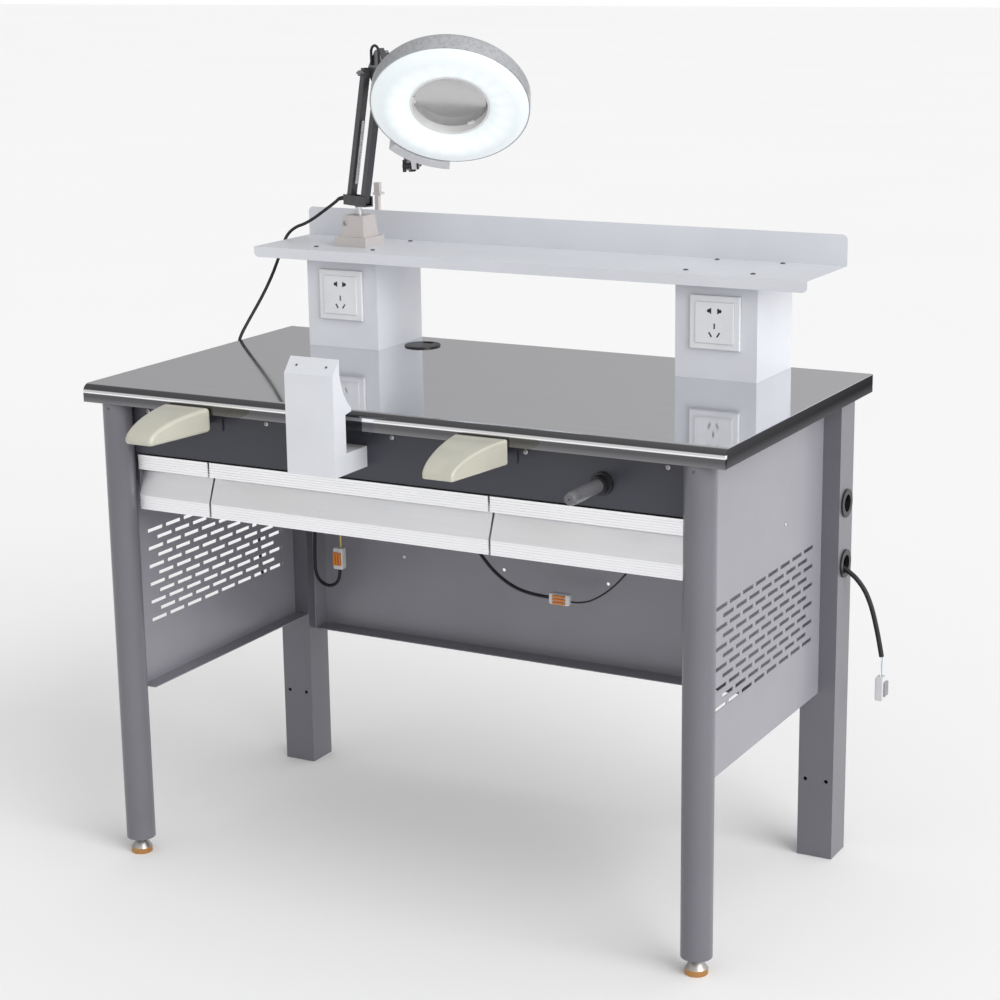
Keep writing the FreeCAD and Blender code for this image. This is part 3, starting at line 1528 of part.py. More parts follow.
def make_head():
    """Ring lamp head: domed shell, ribbed lens ring, lens, glowing diffuser and the switch box."""
    rim = d.head_radius.value
    wall = d.head_sheet.value
    deep = d.head_depth.value
    skirt = d.head_skirt.value
    crown = d.head_crown.value
    lens = d.lens_radius.value
    collar = lens + d.lens_collar.value
    shell = revolved(
        [
            flat(rim, 0),
            flat(rim, -skirt),
            flat(crown, -deep),
            flat(collar, -deep),
            flat(collar, wall - deep),
            flat(crown, wall - deep),
            flat(rim - wall, -skirt),
            flat(rim - wall, 0),
        ],
        {
            2: bulge(flat(rim, -skirt), flat(crown, -deep), flat(rim, -deep)),
            6: bulge(
                flat(crown, wall - deep), flat(rim - wall, -skirt), flat(rim - wall, wall - deep)
            ),
        },
    )
    node(shaped(shell, head_frame), "head_shell")
    inner = collar
    outer = rim - wall
    swell = d.head_bulge.value
    mid = (inner + outer) / 2
    diffuser = revolved(
        [flat(outer, 0), flat(inner, 0), flat(inner, -wall), flat(outer, -wall)],
        {1: flat(mid, swell), 3: flat(mid, swell - wall)},
    )
    node(shaped(diffuser, head_frame), "lamp_diffuser")
    ring = revolved(
        [flat(lens, -deep), flat(lens, 0), flat(collar, 0), flat(collar, -deep)],
        {},
    )
    half_edge = d.lens_edge.value / 2
    seat = -d.lens_seat.value
    grip = d.lens_collar.value
    wide = d.lens_tab.value
    for turn in (0, 120, 240):
        near = lens - grip
        rise = half_edge + d.lens_thickness.value / 2 * (1 - (near / lens) ** 2)
        tab = Part.makeBox(grip, wide, d.lens_tab_sheet.value, Vector(near, -wide / 2, seat + rise))
        tab.rotate(Vector(), Vector(0, 0, 1), turn)
        ring = ring.fuse(tab)
    node(shaped(ring, head_frame), "lens_ring")
    half_thick = d.lens_thickness.value / 2
    profile = Part.Wire(
        [
            Part.LineSegment(flat(0, seat - half_thick), flat(0, seat + half_thick)).toShape(),
            sag_arc(half_thick, half_edge, lens, seat, 1),
            Part.LineSegment(flat(lens, seat + half_edge), flat(lens, seat - half_edge)).toShape(),
            sag_arc(half_thick, half_edge, lens, seat, -1),
        ]
    )
    glass = Part.Face(profile).revolve(Vector(), Vector(0, 0, 1), 360)
    node(shaped(glass, head_frame), "magnifier_lens")
    make_switch_box(rim)


def sag_arc(half_thick, half_edge, radius, seat, side):
    """Return one face of the lens as an arc from the axis to the edge."""
    sag = half_thick - half_edge
    ball = (radius ** 2 + sag ** 2) / (2 * sag)
    centre = seat + side * (half_thick - ball)
    half_angle = math.asin(radius / ball) / 2
    through = flat(ball * math.sin(half_angle), centre + side * ball * math.cos(half_angle))
    apex = flat(0, seat + side * half_thick)
    edge = flat(radius, seat + side * half_edge)
    return Part.Arc(apex, through, edge).toShape()


def make_switch_box(rim):
    """Switch box on the rim of the head, with the lug that the yoke's fork holds."""
    deep = d.switch_depth.value
    span_angle = d.switch_span.value
    front = d.switch_front.value
    start = Rotation(Vector(0, 0, 1), d.head_clock.value - span_angle / 2)
    outer = Part.makeCylinder(box_radius, deep, Vector(0, 0, front - deep), Vector(0, 0, 1), span_angle)
    inner = Part.makeCylinder(rim, 3 * deep, Vector(0, 0, front - 2 * deep))
    box = outer.cut(inner)
    box.Placement = Placement(Vector(), start)
    half = d.lug_width.value / 2
    radius = d.lug_radius.value
    root = math.sqrt(box_radius ** 2 - (tilt_local.x - half) ** 2) - d.lug_root.value
    neck = Part.makeBox(
        2 * half, tilt_local.y - root, 2 * radius, Vector(tilt_local.x - half, root, -radius)
    )
    eye_start = Vector(tilt_local.x - half, tilt_local.y, 0)
    eye = Part.makeCylinder(radius, 2 * half, eye_start, Vector(1, 0, 0))
    hole = Part.makeCylinder(
        d.pin_radius.value + d.running_fit.value, 4 * half, eye_start - Vector(half, 0, 0), Vector(1, 0, 0)
    )
    node(shaped(box.fuse(neck).fuse(eye).cut(hole).removeSplitter(), head_frame), "switch_box")


# Cord routes: corner points of the cords' runs, in bench coordinates with y from the worktop's middle
LAMP_CORD_START = Vector(-17, 0, -2)
LAMP_CORD = [
    (-405, 229, 1040),
    (-429, 232, 1025),
    (-453, 236, 1010),
    (-478, 240, 997),
    (-500, 242, 990),
    (-519, 241, 975),
    (-527, 234, 947),
    (-532, 210, 905),
    (-541, 187, 868),
    (-554, 163, 830),
    (-564, 146, 800),
    (-567, 141, 765),
    (-566.5, 145, 715),
    (-565, 157, 640),
    (-564, 168, 565),
    (-563.5, 178, 490),
    (-564, 184, 415),
    (-565, 187, 378),
    (-565.5, 193, 350),
    (-565.5, 206, 330),
    (-564, 225, 317),
    (-560.5, 246, 310.5),
    (-552, 266, 308.5),
    (-538, 281, 309),
    (-518, 288.5, 311),
    (-494, 290.5, 315),
    (-462, 288.5, 321.5),
    (-425, 284.5, 330),
    (-388, 279.5, 338),
    (-352, 274.5, 344),
]
MAINS_CABLE = [(516, 502.3), (548, 487.3), (570, 465), (583, 439), (592, 408), (599, 378), (604, 352)]
LOOP_LEFT_CABLE = [
    (-440, 160, 690),
    (-441, 185, 680),
    (-443, 196, 650),
    (-446, 198, 590),
    (-449, 199, 520),
    (-453, 200, 450),
    (-455, 200, 405),
    (-455, 200.5, 362),
    (-428, 200, 346),
    (-402, 200, 360),
    (-402, 200, 384),
]
LOOP_LEFT_WIRE = [
    (-397.5, 200, 464),
    (-391, 200, 510),
    (-389, 199, 570),
    (-388, 197, 640),
    (-388, 186, 680),
    (-388, 165, 692),
]
LOOP_RIGHT_CABLE = [
    (-150, 165, 690),
    (-150, 186, 678),
    (-150, 197, 645),
    (-149, 200, 580),
    (-141, 200, 515),
    (-126, 200, 468),
    (-110, 200, 444),
    (-83, 200, 416),
    (-46, 200, 394),
    (-4, 200, 386),
    (24, 200, 386),
]
LOOP_RIGHT_WIRE = [
    (104, 200, 390),
    (140, 200, 415),
    (168, 200, 446),
    (195, 200, 480),
    (212, 200, 520),
    (222, 200, 580),
    (225, 200, 640),
    (225, 190, 680),
    (225, 165, 692),
]


# Share of the shorter of two runs that the arc between them takes on each side
BEND_SHARE = 0.45


def bench_point(point):
    """Turn a route's point into the part's own frame."""
    return Vector(point[0], point[1] + origin_shift.value, point[2])


def cord(points, radius, label):
    """Sweep a round cord along straight runs joined by tangent arcs, and print its bends."""
    pieces = []
    start = points[0]
    least = 1e9
    for before, here, after in zip(points, points[1:], points[2:]):
        way_in = (here - before).normalize()
        way_out = (after - here).normalize()
        half_turn = way_in.getAngle(way_out) / 2
        tangent = BEND_SHARE * min((here - before).Length, (after - here).Length)
        bend = tangent / math.tan(half_turn)
        least = min(least, bend)
        arc_start = here - way_in * tangent
        arc_end = here + way_out * tangent
        inward = (way_out - way_in).normalize()
        through = here + inward * bend * (1 / math.cos(half_turn) - 1)
        pieces.append(Part.LineSegment(start, arc_start))
        pieces.append(Part.Arc(arc_start, through, arc_end))
        start = arc_end
    pieces.append(Part.LineSegment(start, points[-1]))
    path = Part.Wire([piece.toShape() for piece in pieces])
    ring = Part.Wire([Part.Circle(points[0], points[1] - points[0], radius).toShape()])
    tube = path.makePipeShell([ring], True, False)
    share = tube.Volume / (math.pi * radius ** 2 * path.Length)
    print(f"{label}: length {path.Length:.0f} mm, least bend {least:.1f} mm, volume ratio {share:.3f}")
    return shaped(tube)


def make_lamp_cord(gland_end):
    """Lamp lead over the shelf's end and down behind the bench, its spare length coiled on the back panel."""
    cord_radius = d.cord_radius.value
    strand = 2 * cord_radius + d.strand_gap.value
    mean = d.coil_radius.value
    first_y = rear_leg_back.value + d.coil_gap.value + cord_radius
    last_y = first_y + d.coil_turns.value * strand
    middle = Vector(coil_x.value, 0, d.back_hole_height.value - mean)
    points = [gland_end, gland_end + LAMP_CORD_START]
    points = [arm_frame.multVec(point) for point in points]
    points += [bench_point(point) for point in LAMP_CORD]
    points.append(Vector(middle.x, first_y, middle.z - mean))
    back = Vector(0, 1, 0)
    ring_start = middle + back * (first_y - cord_radius)
    ring_deep = last_y - first_y + 2 * cord_radius
    outer = Part.makeCylinder(mean + cord_radius, ring_deep, ring_start, back)
    inner = Part.makeCylinder(mean - cord_radius, ring_deep, ring_start, back)
    node(shaped(outer.cut(inner)), "lamp_coil")
    room = mean + cord_radius + d.seat_gap.value
    clear = Part.makeCylinder(room, 3 * ring_deep, ring_start - back * ring_deep, back)
    tail_top = Vector(middle.x - mean, last_y, middle.z)
    end = tail_top - Vector(0, 0, mean)
    tail = Part.makeCylinder(cord_radius, mean, end)
    lead = cord(points, cord_radius, "lamp_cord")
    print(f"lamp_coil: length {2 * math.pi * mean * d.coil_turns.value:.0f} mm, tail {mean:.0f} mm")
    lead.Shape = lead.Shape.cut(clear)
    node(group([lead, shaped(tail.cut(clear))]), "lamp_cord")
    long = d.plug_length.value
    radius = d.plug_radius.value
    neck = d.plug_neck_radius.value
    neck_end = -d.plug_neck.value
    profile = [
        flat(0, 0),
        flat(neck, 0),
        flat(neck, neck_end),
        flat(radius, neck_end - d.plug_taper.value),
        flat(radius, -long),
        flat(0, -long),
    ]
    plug = revolved(profile, {})
    thick = d.blade_sheet.value
    wide = d.blade_width.value
    reach = d.blade_length.value
    for side in SIDES.values():
        corner = Vector(side * d.blade_spread.value - thick / 2, -wide / 2, -long - reach)
        plug = plug.fuse(Part.makeBox(thick, wide, reach, corner))
    node(shaped(plug, Placement(end - Vector(0, 0, d.side_gap.value), Rotation())), "lamp_plug")
    return make_tie(middle.x, first_y - cord_radius, last_y + cord_radius)


def make_tie(x, coil_front, coil_back):
    """Push-in tie round the top of the coil, with its stem and barb through a hole of the back panel."""
    gap = d.seat_gap.value
    sheet_part = d.tie_sheet.value
    wide = d.tie_width.value
    high = d.cord_radius.value + 2 * gap
    middle = d.back_hole_height.value
    long = coil_back - coil_front + 2 * gap
    inner = Part.makeBox(wide, long, 2 * high, Vector(x - wide / 2, coil_front - gap, middle - high))
    grown = high + sheet_part
    outer_corner = Vector(x - wide / 2, coil_front - gap - sheet_part, middle - grown)
    band_part = Part.makeBox(wide, long + 2 * sheet_part, 2 * grown, outer_corner).cut(inner)
    panel_front = (rear_leg_back - d.panel_sheet).value
    root = Vector(x, coil_front - gap - sheet_part, middle)
    towards_front = Vector(0, -1, 0)
    stem = Part.makeCylinder(
        d.back_hole_radius.value - d.running_fit.value, root.y - panel_front + gap, root, towards_front
    )
    barb_start = Vector(x, panel_front - gap, middle)
    barb = Part.makeCylinder(d.tie_barb_radius.value, d.tie_barb.value, barb_start, towards_front)
    return shaped(band_part.fuse(stem).fuse(barb).removeSplitter())


def connector_block(start, turn, levers):
    """Make a lever connector that begins at a cord's end: a block with raised levers on one face."""
    long = d.connector_length.value
    wide = d.connector_width.value
    thick = d.connector_depth.value
    solid = Part.makeBox(wide, thick, long, Vector(-wide / 2, -thick / 2, 0))
    step = wide / levers
    for i in range(levers):
        middle = (i - (levers - 1) / 2) * step
        lever_wide = step - d.lever_gap.value
        rise = d.lever_rise.value
        corner = Vector(middle - lever_wide / 2, -thick / 2 - rise, d.lever_start.value)
        solid = solid.fuse(Part.makeBox(lever_wide, rise, d.lever_length.value, corner))
    return shaped(solid, Placement(start, turn))


def make_cables(tie):
    """Mains cable out of the leg, two loops of lead behind the drawers, and the fittings on the cords."""
    mains = [Vector(x, rear_leg_y.value, z) for x, z in MAINS_CABLE]
    end = mains[-1]
    bare = d.bare_length.value
    wires = [cord(mains, d.mains_radius.value, "mains_cable")]
    for offset in (-1, 0, 1):
        foot = end + Vector(0, offset * d.core_spacing.value, -bare)
        wires.append(shaped(Part.makeCylinder(d.core_radius.value, bare, foot)))
    node(group(wires), "mains_cable")
    down = Rotation(Vector(0, 0, 1), Vector(0, 0, -1))
    blocks = [connector_block(end - Vector(0, 0, bare), Rotation(Vector(0, 0, 1), 90).multiply(down), 3)]
    wall = housing_back.value
    loops = {
        "loop_left": (LOOP_LEFT_CABLE, LOOP_LEFT_WIRE, Rotation()),
        "loop_right": (LOOP_RIGHT_CABLE, LOOP_RIGHT_WIRE, Rotation(Vector(0, 1, 0), 90)),
    }
    for label, (route, thin_route, turn) in loops.items():
        thick = [bench_point(point) for point in route]
        thick = [Vector(thick[0].x, wall, thick[0].z)] + thick
        blocks.append(connector_block(thick[-1], turn, 2))
        thin = [bench_point(point) for point in thin_route]
        exit_point = thick[-1] + turn.multVec(Vector(d.wire_offset.value, 0, d.connector_length.value))
        straight = turn.multVec(Vector(0, 0, d.connector_depth.value))
        thin = [exit_point, exit_point + straight] + thin + [Vector(thin[-1].x, wall, thin[-1].z)]
        pair = [
            cord(thick, d.loop_radius.value, label + " cable"),
            cord(thin, d.wire_radius.value, label + " wire"),
        ]
        node(group(pair), label)
    node(group(blocks + [tie]), "cord_fittings")


def build():
    """Make every piece of the bench."""
    make_worktop()
    make_outlet()
    for name, side in SIDES.items():
        make_front_leg(name, side)
        make_rear_leg(name, side)
        make_side_panel(name, side)
        make_post(name, side)
    make_leg_outlets()
    make_back_panel()
    make_frame_rails()
    screws = make_fascia()
    bays = drawer_bays()
    make_housing(bays)
    make_drawer_rails(bays)
    for name, bay in bays.items():
        make_drawer(name, bay)
    make_hood()
    node(group([make_rest(name, side) for name, side in SIDES.items()]), "rest_brackets")
    make_air_gun()
    sockets = [make_socket(side) for side in SIDES.values()]
    node(group([part for pair in sockets for part in pair]), "mains_sockets")
    screws += make_shelf()
    node(group(screws), "panel_screws")
    make_hook()
    make_lamp_base()
    gland_end = make_lamp_swivel()
    make_arms()
    make_elbow_lead()
    make_head_bracket()
    make_head_yoke()
    make_head()
    tie = make_lamp_cord(gland_end)
    make_cables(tie)


def export():
    """Recompute, check every object, and write one STEP file for each node."""
    doc.recompute()
    os.makedirs("parts", exist_ok=True)
    for part in doc.Objects:
        if "Invalid" in part.State or "Error" in part.State:
            raise RuntimeError(f"{part.Label} did not compute: {part.State}")
    for label, part in nodes.items():
        shape = part.Shape
        if shape.isNull() or not shape.isValid():
            raise RuntimeError(f"{label} has no valid shape")
        shape.exportStep(f"parts/{label}.step")
    print(len(nodes), "nodes written")


build()
export()
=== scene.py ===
"""Looks of the dental lab bench: finishes of every surface, cords, small fittings, camera and studio."""
import logging
import math
from dataclasses import dataclass
from enum import Enum

import bpy
import numpy as np
from mathutils import Matrix, Vector


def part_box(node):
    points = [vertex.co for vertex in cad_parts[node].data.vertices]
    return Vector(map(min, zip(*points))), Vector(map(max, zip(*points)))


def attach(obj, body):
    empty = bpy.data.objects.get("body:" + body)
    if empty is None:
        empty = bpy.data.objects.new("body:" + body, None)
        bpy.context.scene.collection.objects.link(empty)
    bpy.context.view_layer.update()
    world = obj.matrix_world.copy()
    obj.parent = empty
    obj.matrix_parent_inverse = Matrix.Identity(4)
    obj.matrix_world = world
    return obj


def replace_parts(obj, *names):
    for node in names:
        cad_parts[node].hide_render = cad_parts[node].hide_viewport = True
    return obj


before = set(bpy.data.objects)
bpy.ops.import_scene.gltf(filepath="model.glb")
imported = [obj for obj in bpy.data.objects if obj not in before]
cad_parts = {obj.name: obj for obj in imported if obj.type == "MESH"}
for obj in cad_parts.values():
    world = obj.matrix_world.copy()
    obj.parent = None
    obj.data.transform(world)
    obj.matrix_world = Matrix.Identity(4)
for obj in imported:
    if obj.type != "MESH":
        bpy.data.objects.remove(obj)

log = logging.getLogger("bench")
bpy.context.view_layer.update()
MM = 0.001
FULL_TURN = 2.0 * math.pi
QUARTER_TURN = math.pi / 2.0
CLOUD_DARK, CLOUD_LIGHT = 0.95, 1.04
CAD_WELD, PIECE_WELD = 1e-5, 1e-6
FLAT_ANGLE, EDGE_ANGLE = math.radians(0.3), math.radians(32.0)
NORMAL_WEIGHT = 80
BOX_ROWS, BOX_COLUMNS = 33, 64

Colour = tuple[float, float, float]
Point = tuple[float, float, float]
Pairs = tuple[tuple[float, float], ...]
Socket = bpy.types.NodeSocket
Material = bpy.types.Material
Piece = bpy.types.Object


class Axis(Enum):
    """Direction in which a fitting faces, as a unit vector."""

    LEFT = (-1.0, 0.0, 0.0)
    RIGHT = (1.0, 0.0, 0.0)
    FRONT = (0.0, -1.0, 0.0)
    UP = (0.0, 0.0, 1.0)
    HOOD_TOP = (0.0, -0.764, 0.645)


class Graph:
    """Small helper that adds shader nodes to one material and joins them."""

    def __init__(self, name: str) -> None:
        """Start a material with a Principled surface.

        Args:
            name: The material's name.
        """
        self.material = bpy.data.materials.new(name)
        self.material.use_nodes = True
        self.tree = self.material.node_tree
        self.surface = self.tree.nodes["Principled BSDF"]
        self.coords = self.add("ShaderNodeTexCoord").outputs["Object"]

    def add(self, kind: str, **values: object) -> bpy.types.ShaderNode:
        """Add a node, setting its properties and unlinked inputs by name.

        Args:
            kind: The node's type name.
            values: Properties, or inputs with underscores for spaces.

        Returns:
            The new node.
        """
        added = self.tree.nodes.new(kind)
        for key, value in values.items():
            if hasattr(added, key):
                setattr(added, key, value)
            else:
                added.inputs[key.replace("_", " ")].default_value = value
        return added

    def link(self, output: Socket, target: Socket) -> None:
        """Join an output to an input."""
        self.tree.links.new(output, target)

    def feed(self, name: str, output: Socket) -> None:
        """Join an output to one of the surface's own inputs."""
        self.link(output, self.surface.inputs[name])

    def set(self, **values: object) -> None:
        """Set constants on the surface's own sockets."""
        for key, value in values.items():
            self.surface.inputs[key.replace("_", " ")].default_value = value

    def stretched(self, scale: Point) -> Socket:
        """Return object coordinates stretched by a factor on each axis."""
        mapping = self.add("ShaderNodeMapping")
        mapping.inputs["Scale"].default_value = scale
        self.link(self.coords, mapping.inputs["Vector"])
        return mapping.outputs["Vector"]

    def coordinate(self, axis: str) -> Socket:
        """Return one of the object coordinates X, Y and Z."""
        parts = self.add("ShaderNodeSeparateXYZ")
        self.link(self.coords, parts.inputs["Vector"])
        return parts.outputs[axis]

    def noise(self, scale: float, detail: float = 3.0, vector: Socket | None = None) -> Socket:
        """Return the value of a noise pattern.

        Args:
            scale: Spots per metre.
            detail: Octaves of finer noise.
            vector: Coordinates other than the plain object ones.

        Returns:
            The noise value's socket.
        """
        texture = self.add("ShaderNodeTexNoise", Scale=scale, Detail=detail)
        self.link(vector or self.coords, texture.inputs["Vector"])
        return texture.outputs["Fac"]

    def arithmetic(self, operation: str, left: Socket, right: Socket | float = 0.0) -> Socket:
        """Return one arithmetic step of a socket with another socket or a number."""
        step = self.add("ShaderNodeMath", operation=operation)
        self.link(left, step.inputs[0])
        if isinstance(right, float):
            step.inputs[1].default_value = right
        else:
            self.link(right, step.inputs[1])
        return step.outputs["Value"]

    def spread(self, value: Socket, low: float, high: float, near: float = 0.3, far: float = 0.7) -> Socket:
        """Map a value between near and far to a range from low to high."""
        ranged = self.add("ShaderNodeMapRange", From_Min=near, From_Max=far, To_Min=low, To_Max=high)
        self.link(value, ranged.inputs["Value"])
        return ranged.outputs["Result"]

    def ramp(self, value: Socket, stops: list[tuple[float, Colour]]) -> Socket:
        """Map a value to colours, given as pairs of place and colour."""
        ramp = self.add("ShaderNodeValToRGB")
        elements = ramp.color_ramp.elements
        while len(elements) < len(stops):
            elements.new(1.0)
        for element, (spot, colour) in zip(elements, stops):
            element.position = spot
            element.color = (*colour, 1.0)
        self.link(value, ramp.inputs["Fac"])
        return ramp.outputs["Color"]

    def tint(self, value: Socket, low: Colour, high: Colour, near: float = 0.3, far: float = 0.7) -> Socket:
        """Map a value between near and far to a blend of two colours."""
        return self.ramp(value, [(near, low), (far, high)])

    def tones(self, value: Socket, stops: Pairs) -> Socket:
        """Map a value from 0 to 1 to greys, given as pairs of place and brightness."""
        return self.ramp(value, [(spot, (grey, grey, grey)) for spot, grey in stops])

    def clouded(self, colour: Colour, scale: float, detail: float) -> Socket:
        """Return a colour with faint darker and lighter clouds."""
        return self.tint(self.noise(scale, detail), shade(colour, CLOUD_DARK), shade(colour, CLOUD_LIGHT))

    def product(self, left: Socket, right: Socket) -> Socket:
        """Return two colours multiplied."""
        mix = self.add("ShaderNodeMix", data_type="RGBA", blend_type="MULTIPLY")
        mix.inputs["Factor"].default_value = 1.0
        self.link(left, mix.inputs["A"])
        self.link(right, mix.inputs["B"])
        return mix.outputs["Result"]

    def bump(self, value: Socket, height_mm: float, strength: float = 1.0) -> None:
        """Raise the surface by a pattern of a real height."""
        raised = self.add("ShaderNodeBump", Strength=strength, Distance=height_mm * MM)
        self.link(value, raised.inputs["Height"])
        self.feed("Normal", raised.outputs["Normal"])


def shade(colour: Colour, factor: float) -> Colour:
    """Return a colour made lighter or darker by a factor."""
    return tuple(min(1.0, channel * factor) for channel in colour)


@dataclass(frozen=True)
class Finish:
    """Finish of a surface, made as one procedural material."""

    name: str

    def build(self) -> Material:
        """Make the material."""
        graph = Graph(self.name)
        self.paint(graph)
        return graph.material

    def paint(self, graph: Graph) -> None:
        """Join the shader's nodes."""
        raise NotImplementedError


@dataclass(frozen=True)
class PowderCoat(Finish):
    """Satin powder coat: even colour with faint clouding and a fine orange-peel skin."""

    colour: Colour
    roughness: float = 0.42
    peel_mm: float = 0.003
    cloud_scale: float = 6.0
    fleck_scale: float = 420.0
    peel_scale: float = 850.0

    def paint(self, graph: Graph) -> None:
        """Join the shader's nodes."""
        graph.set(Specular_IOR_Level=0.45, Coat_Weight=0.12, Coat_Roughness=0.25)
        graph.feed("Base Color", graph.clouded(self.colour, self.cloud_scale, 4.0))
        fleck = graph.noise(self.fleck_scale, 2.0)
        graph.feed("Roughness", graph.spread(fleck, self.roughness - 0.01, self.roughness + 0.015))
        graph.bump(graph.noise(self.peel_scale, 2.0), self.peel_mm)


@dataclass(frozen=True)
class BrushedSteel(Finish):
    """Polished sheet steel with fine brush lines along one axis."""

    colour: Colour
    roughness: float
    grain: Point
    depth_mm: float = 0.006
    anisotropy: float = 0.45
    contrast: float = 0.06
    smear_scale: float = 5.0

    def paint(self, graph: Graph) -> None:
        """Join the shader's nodes."""
        graph.set(Metallic=1.0, Anisotropic=self.anisotropy, Specular_IOR_Level=0.5)
        lines = graph.noise(1.0, 4.0, graph.stretched(self.grain))
        dark, light = shade(self.colour, 1.0 - self.contrast), shade(self.colour, 1.0 + self.contrast)
        graph.feed("Base Color", self.toned(graph, graph.tint(lines, dark, light)))
        smear = graph.noise(self.smear_scale, 3.0)
        streaks = graph.spread(lines, 0.8, 1.25)
        smears = graph.spread(smear, self.roughness * 0.85, self.roughness * 1.2)
        graph.feed("Roughness", graph.arithmetic("MULTIPLY", streaks, smears))
        graph.bump(lines, self.depth_mm)

    def toned(self, graph: Graph, colour: Socket) -> Socket:
        """Return the sheet's colour as it is."""
        return colour


@dataclass(frozen=True)
class EdgedSteel(BrushedSteel):
    """Brushed sheet with painted reflections on its folded edges: painted dark, with one painted highlight line
    along the front.
    """

    low: float = 0.771
    top: float = 0.800
    front: float = -0.2365
    turn_in: float = 0.001
    # Tones up the front nose: painted dark reflection with one painted highlight line, and the top face at full
    # tone.
    nose_painted_reflection: Pairs = (
        (0.0, 0.3), (0.3, 0.16), (0.49, 0.16), (0.54, 1.7), (0.65, 1.7), (0.71, 0.14), (0.96, 0.2), (0.99, 1.0),
    )
    # Tones up the side edges: painted dark reflection, and the top face at full tone.
    side: Pairs = ((0.0, 0.3), (0.5, 0.2), (0.95, 0.22), (0.985, 1.0))

    def toned(self, graph: Graph, colour: Socket) -> Socket:
        """Return the colour with painted reflections on the edges, painted dark with one painted highlight line
        on the front: height picks the tone, and depth picks front or side.
        """
        share = graph.spread(graph.coordinate("Z"), 0.0, 1.0, self.low, self.top)
        behind = graph.spread(graph.coordinate("Y"), 0.0, 1.0, self.front, self.front + self.turn_in)
        mix = graph.add("ShaderNodeMix", data_type="RGBA")
        graph.link(behind, mix.inputs["Factor"])
        graph.link(graph.tones(share, self.nose_painted_reflection), mix.inputs["A"])
        graph.link(graph.tones(share, self.side), mix.inputs["B"])
        # The painted reflection's tones also tint the specular reflection.
        graph.feed("Specular Tint", mix.outputs["Result"])
        return graph.product(colour, mix.outputs["Result"])


@dataclass(frozen=True)
class MouldedPlastic(Finish):
    """Moulded plastic with a faint sink mottling and a fine texture."""

    colour: Colour
    roughness: float = 0.4
    grain_mm: float = 0.012
    glow: float = 0.0
    coat: float = 0.0
    cloud_scale: float = 22.0
    grain_scale: float = 1400.0

    def paint(self, graph: Graph) -> None:
        """Join the shader's nodes."""
        graph.set(Specular_IOR_Level=0.5, Coat_Weight=self.coat, Coat_Roughness=0.12)
        graph.set(Subsurface_Weight=self.glow, Subsurface_Scale=0.01, Subsurface_Radius=(1.0, 0.85, 0.55))
        graph.feed("Base Color", graph.clouded(self.colour, self.cloud_scale, 3.0))
        fine = graph.noise(self.grain_scale, 2.0)
        graph.feed("Roughness", graph.spread(fine, self.roughness - 0.04, self.roughness + 0.05))
        graph.bump(fine, self.grain_mm)


@dataclass(frozen=True)
class HammerPaint(Finish):
    """Silver hammer-finish paint: shallow dimples with a metallic sheen."""

    colour: Colour
    dimples: float = 170.0
    depth_mm: float = 0.25
    smear_scale: float = 60.0

    def paint(self, graph: Graph) -> None:
        """Join the shader's nodes."""
        graph.set(Metallic=0.75, Specular_IOR_Level=0.5, Coat_Weight=0.3, Coat_Roughness=0.1)
        cells = graph.add("ShaderNodeTexVoronoi", feature="SMOOTH_F1", Scale=self.dimples, Smoothness=0.6)
        graph.link(graph.coords, cells.inputs["Vector"])
        hollow = cells.outputs["Distance"]
        dark, light = shade(self.colour, 0.86), shade(self.colour, 1.1)
        graph.feed("Base Color", graph.tint(hollow, dark, light, 0.05, 0.6))
        graph.feed("Roughness", graph.spread(graph.noise(self.smear_scale), 0.28, 0.42))
        graph.bump(hollow, self.depth_mm, 0.7)


@dataclass(frozen=True)
class Rubber(Finish):
    """Soft cable sheath with a dull, slightly dusty skin."""

    colour: Colour
    roughness: float = 0.5
    dust_scale: float = 90.0
    skin_scale: float = 1100.0
    skin_mm: float = 0.015

    def paint(self, graph: Graph) -> None:
        """Join the shader's nodes."""
        graph.set(Specular_IOR_Level=0.4)
        dust = graph.noise(self.dust_scale, 4.0)
        graph.feed("Base Color", graph.tint(dust, self.colour, shade(self.colour, 1.5)))
        graph.feed("Roughness", graph.spread(dust, self.roughness - 0.08, self.roughness + 0.1))
        graph.bump(graph.noise(self.skin_scale, 2.0), self.skin_mm)


@dataclass(frozen=True)
class TintedGlass(Finish):
    """Lens glass with faint smears, and a grey tint that is painted shade: it darkens the view through the
    lens.
    """

    colour: Colour
    smear_scale: float = 14.0

    def paint(self, graph: Graph) -> None:
        """Join the shader's nodes."""
        graph.set(Base_Color=(*self.colour, 1.0), Transmission_Weight=1.0, IOR=1.5, Specular_IOR_Level=0.5)
        graph.feed("Roughness", graph.spread(graph.noise(self.smear_scale, 4.0), 0.12, 0.22))


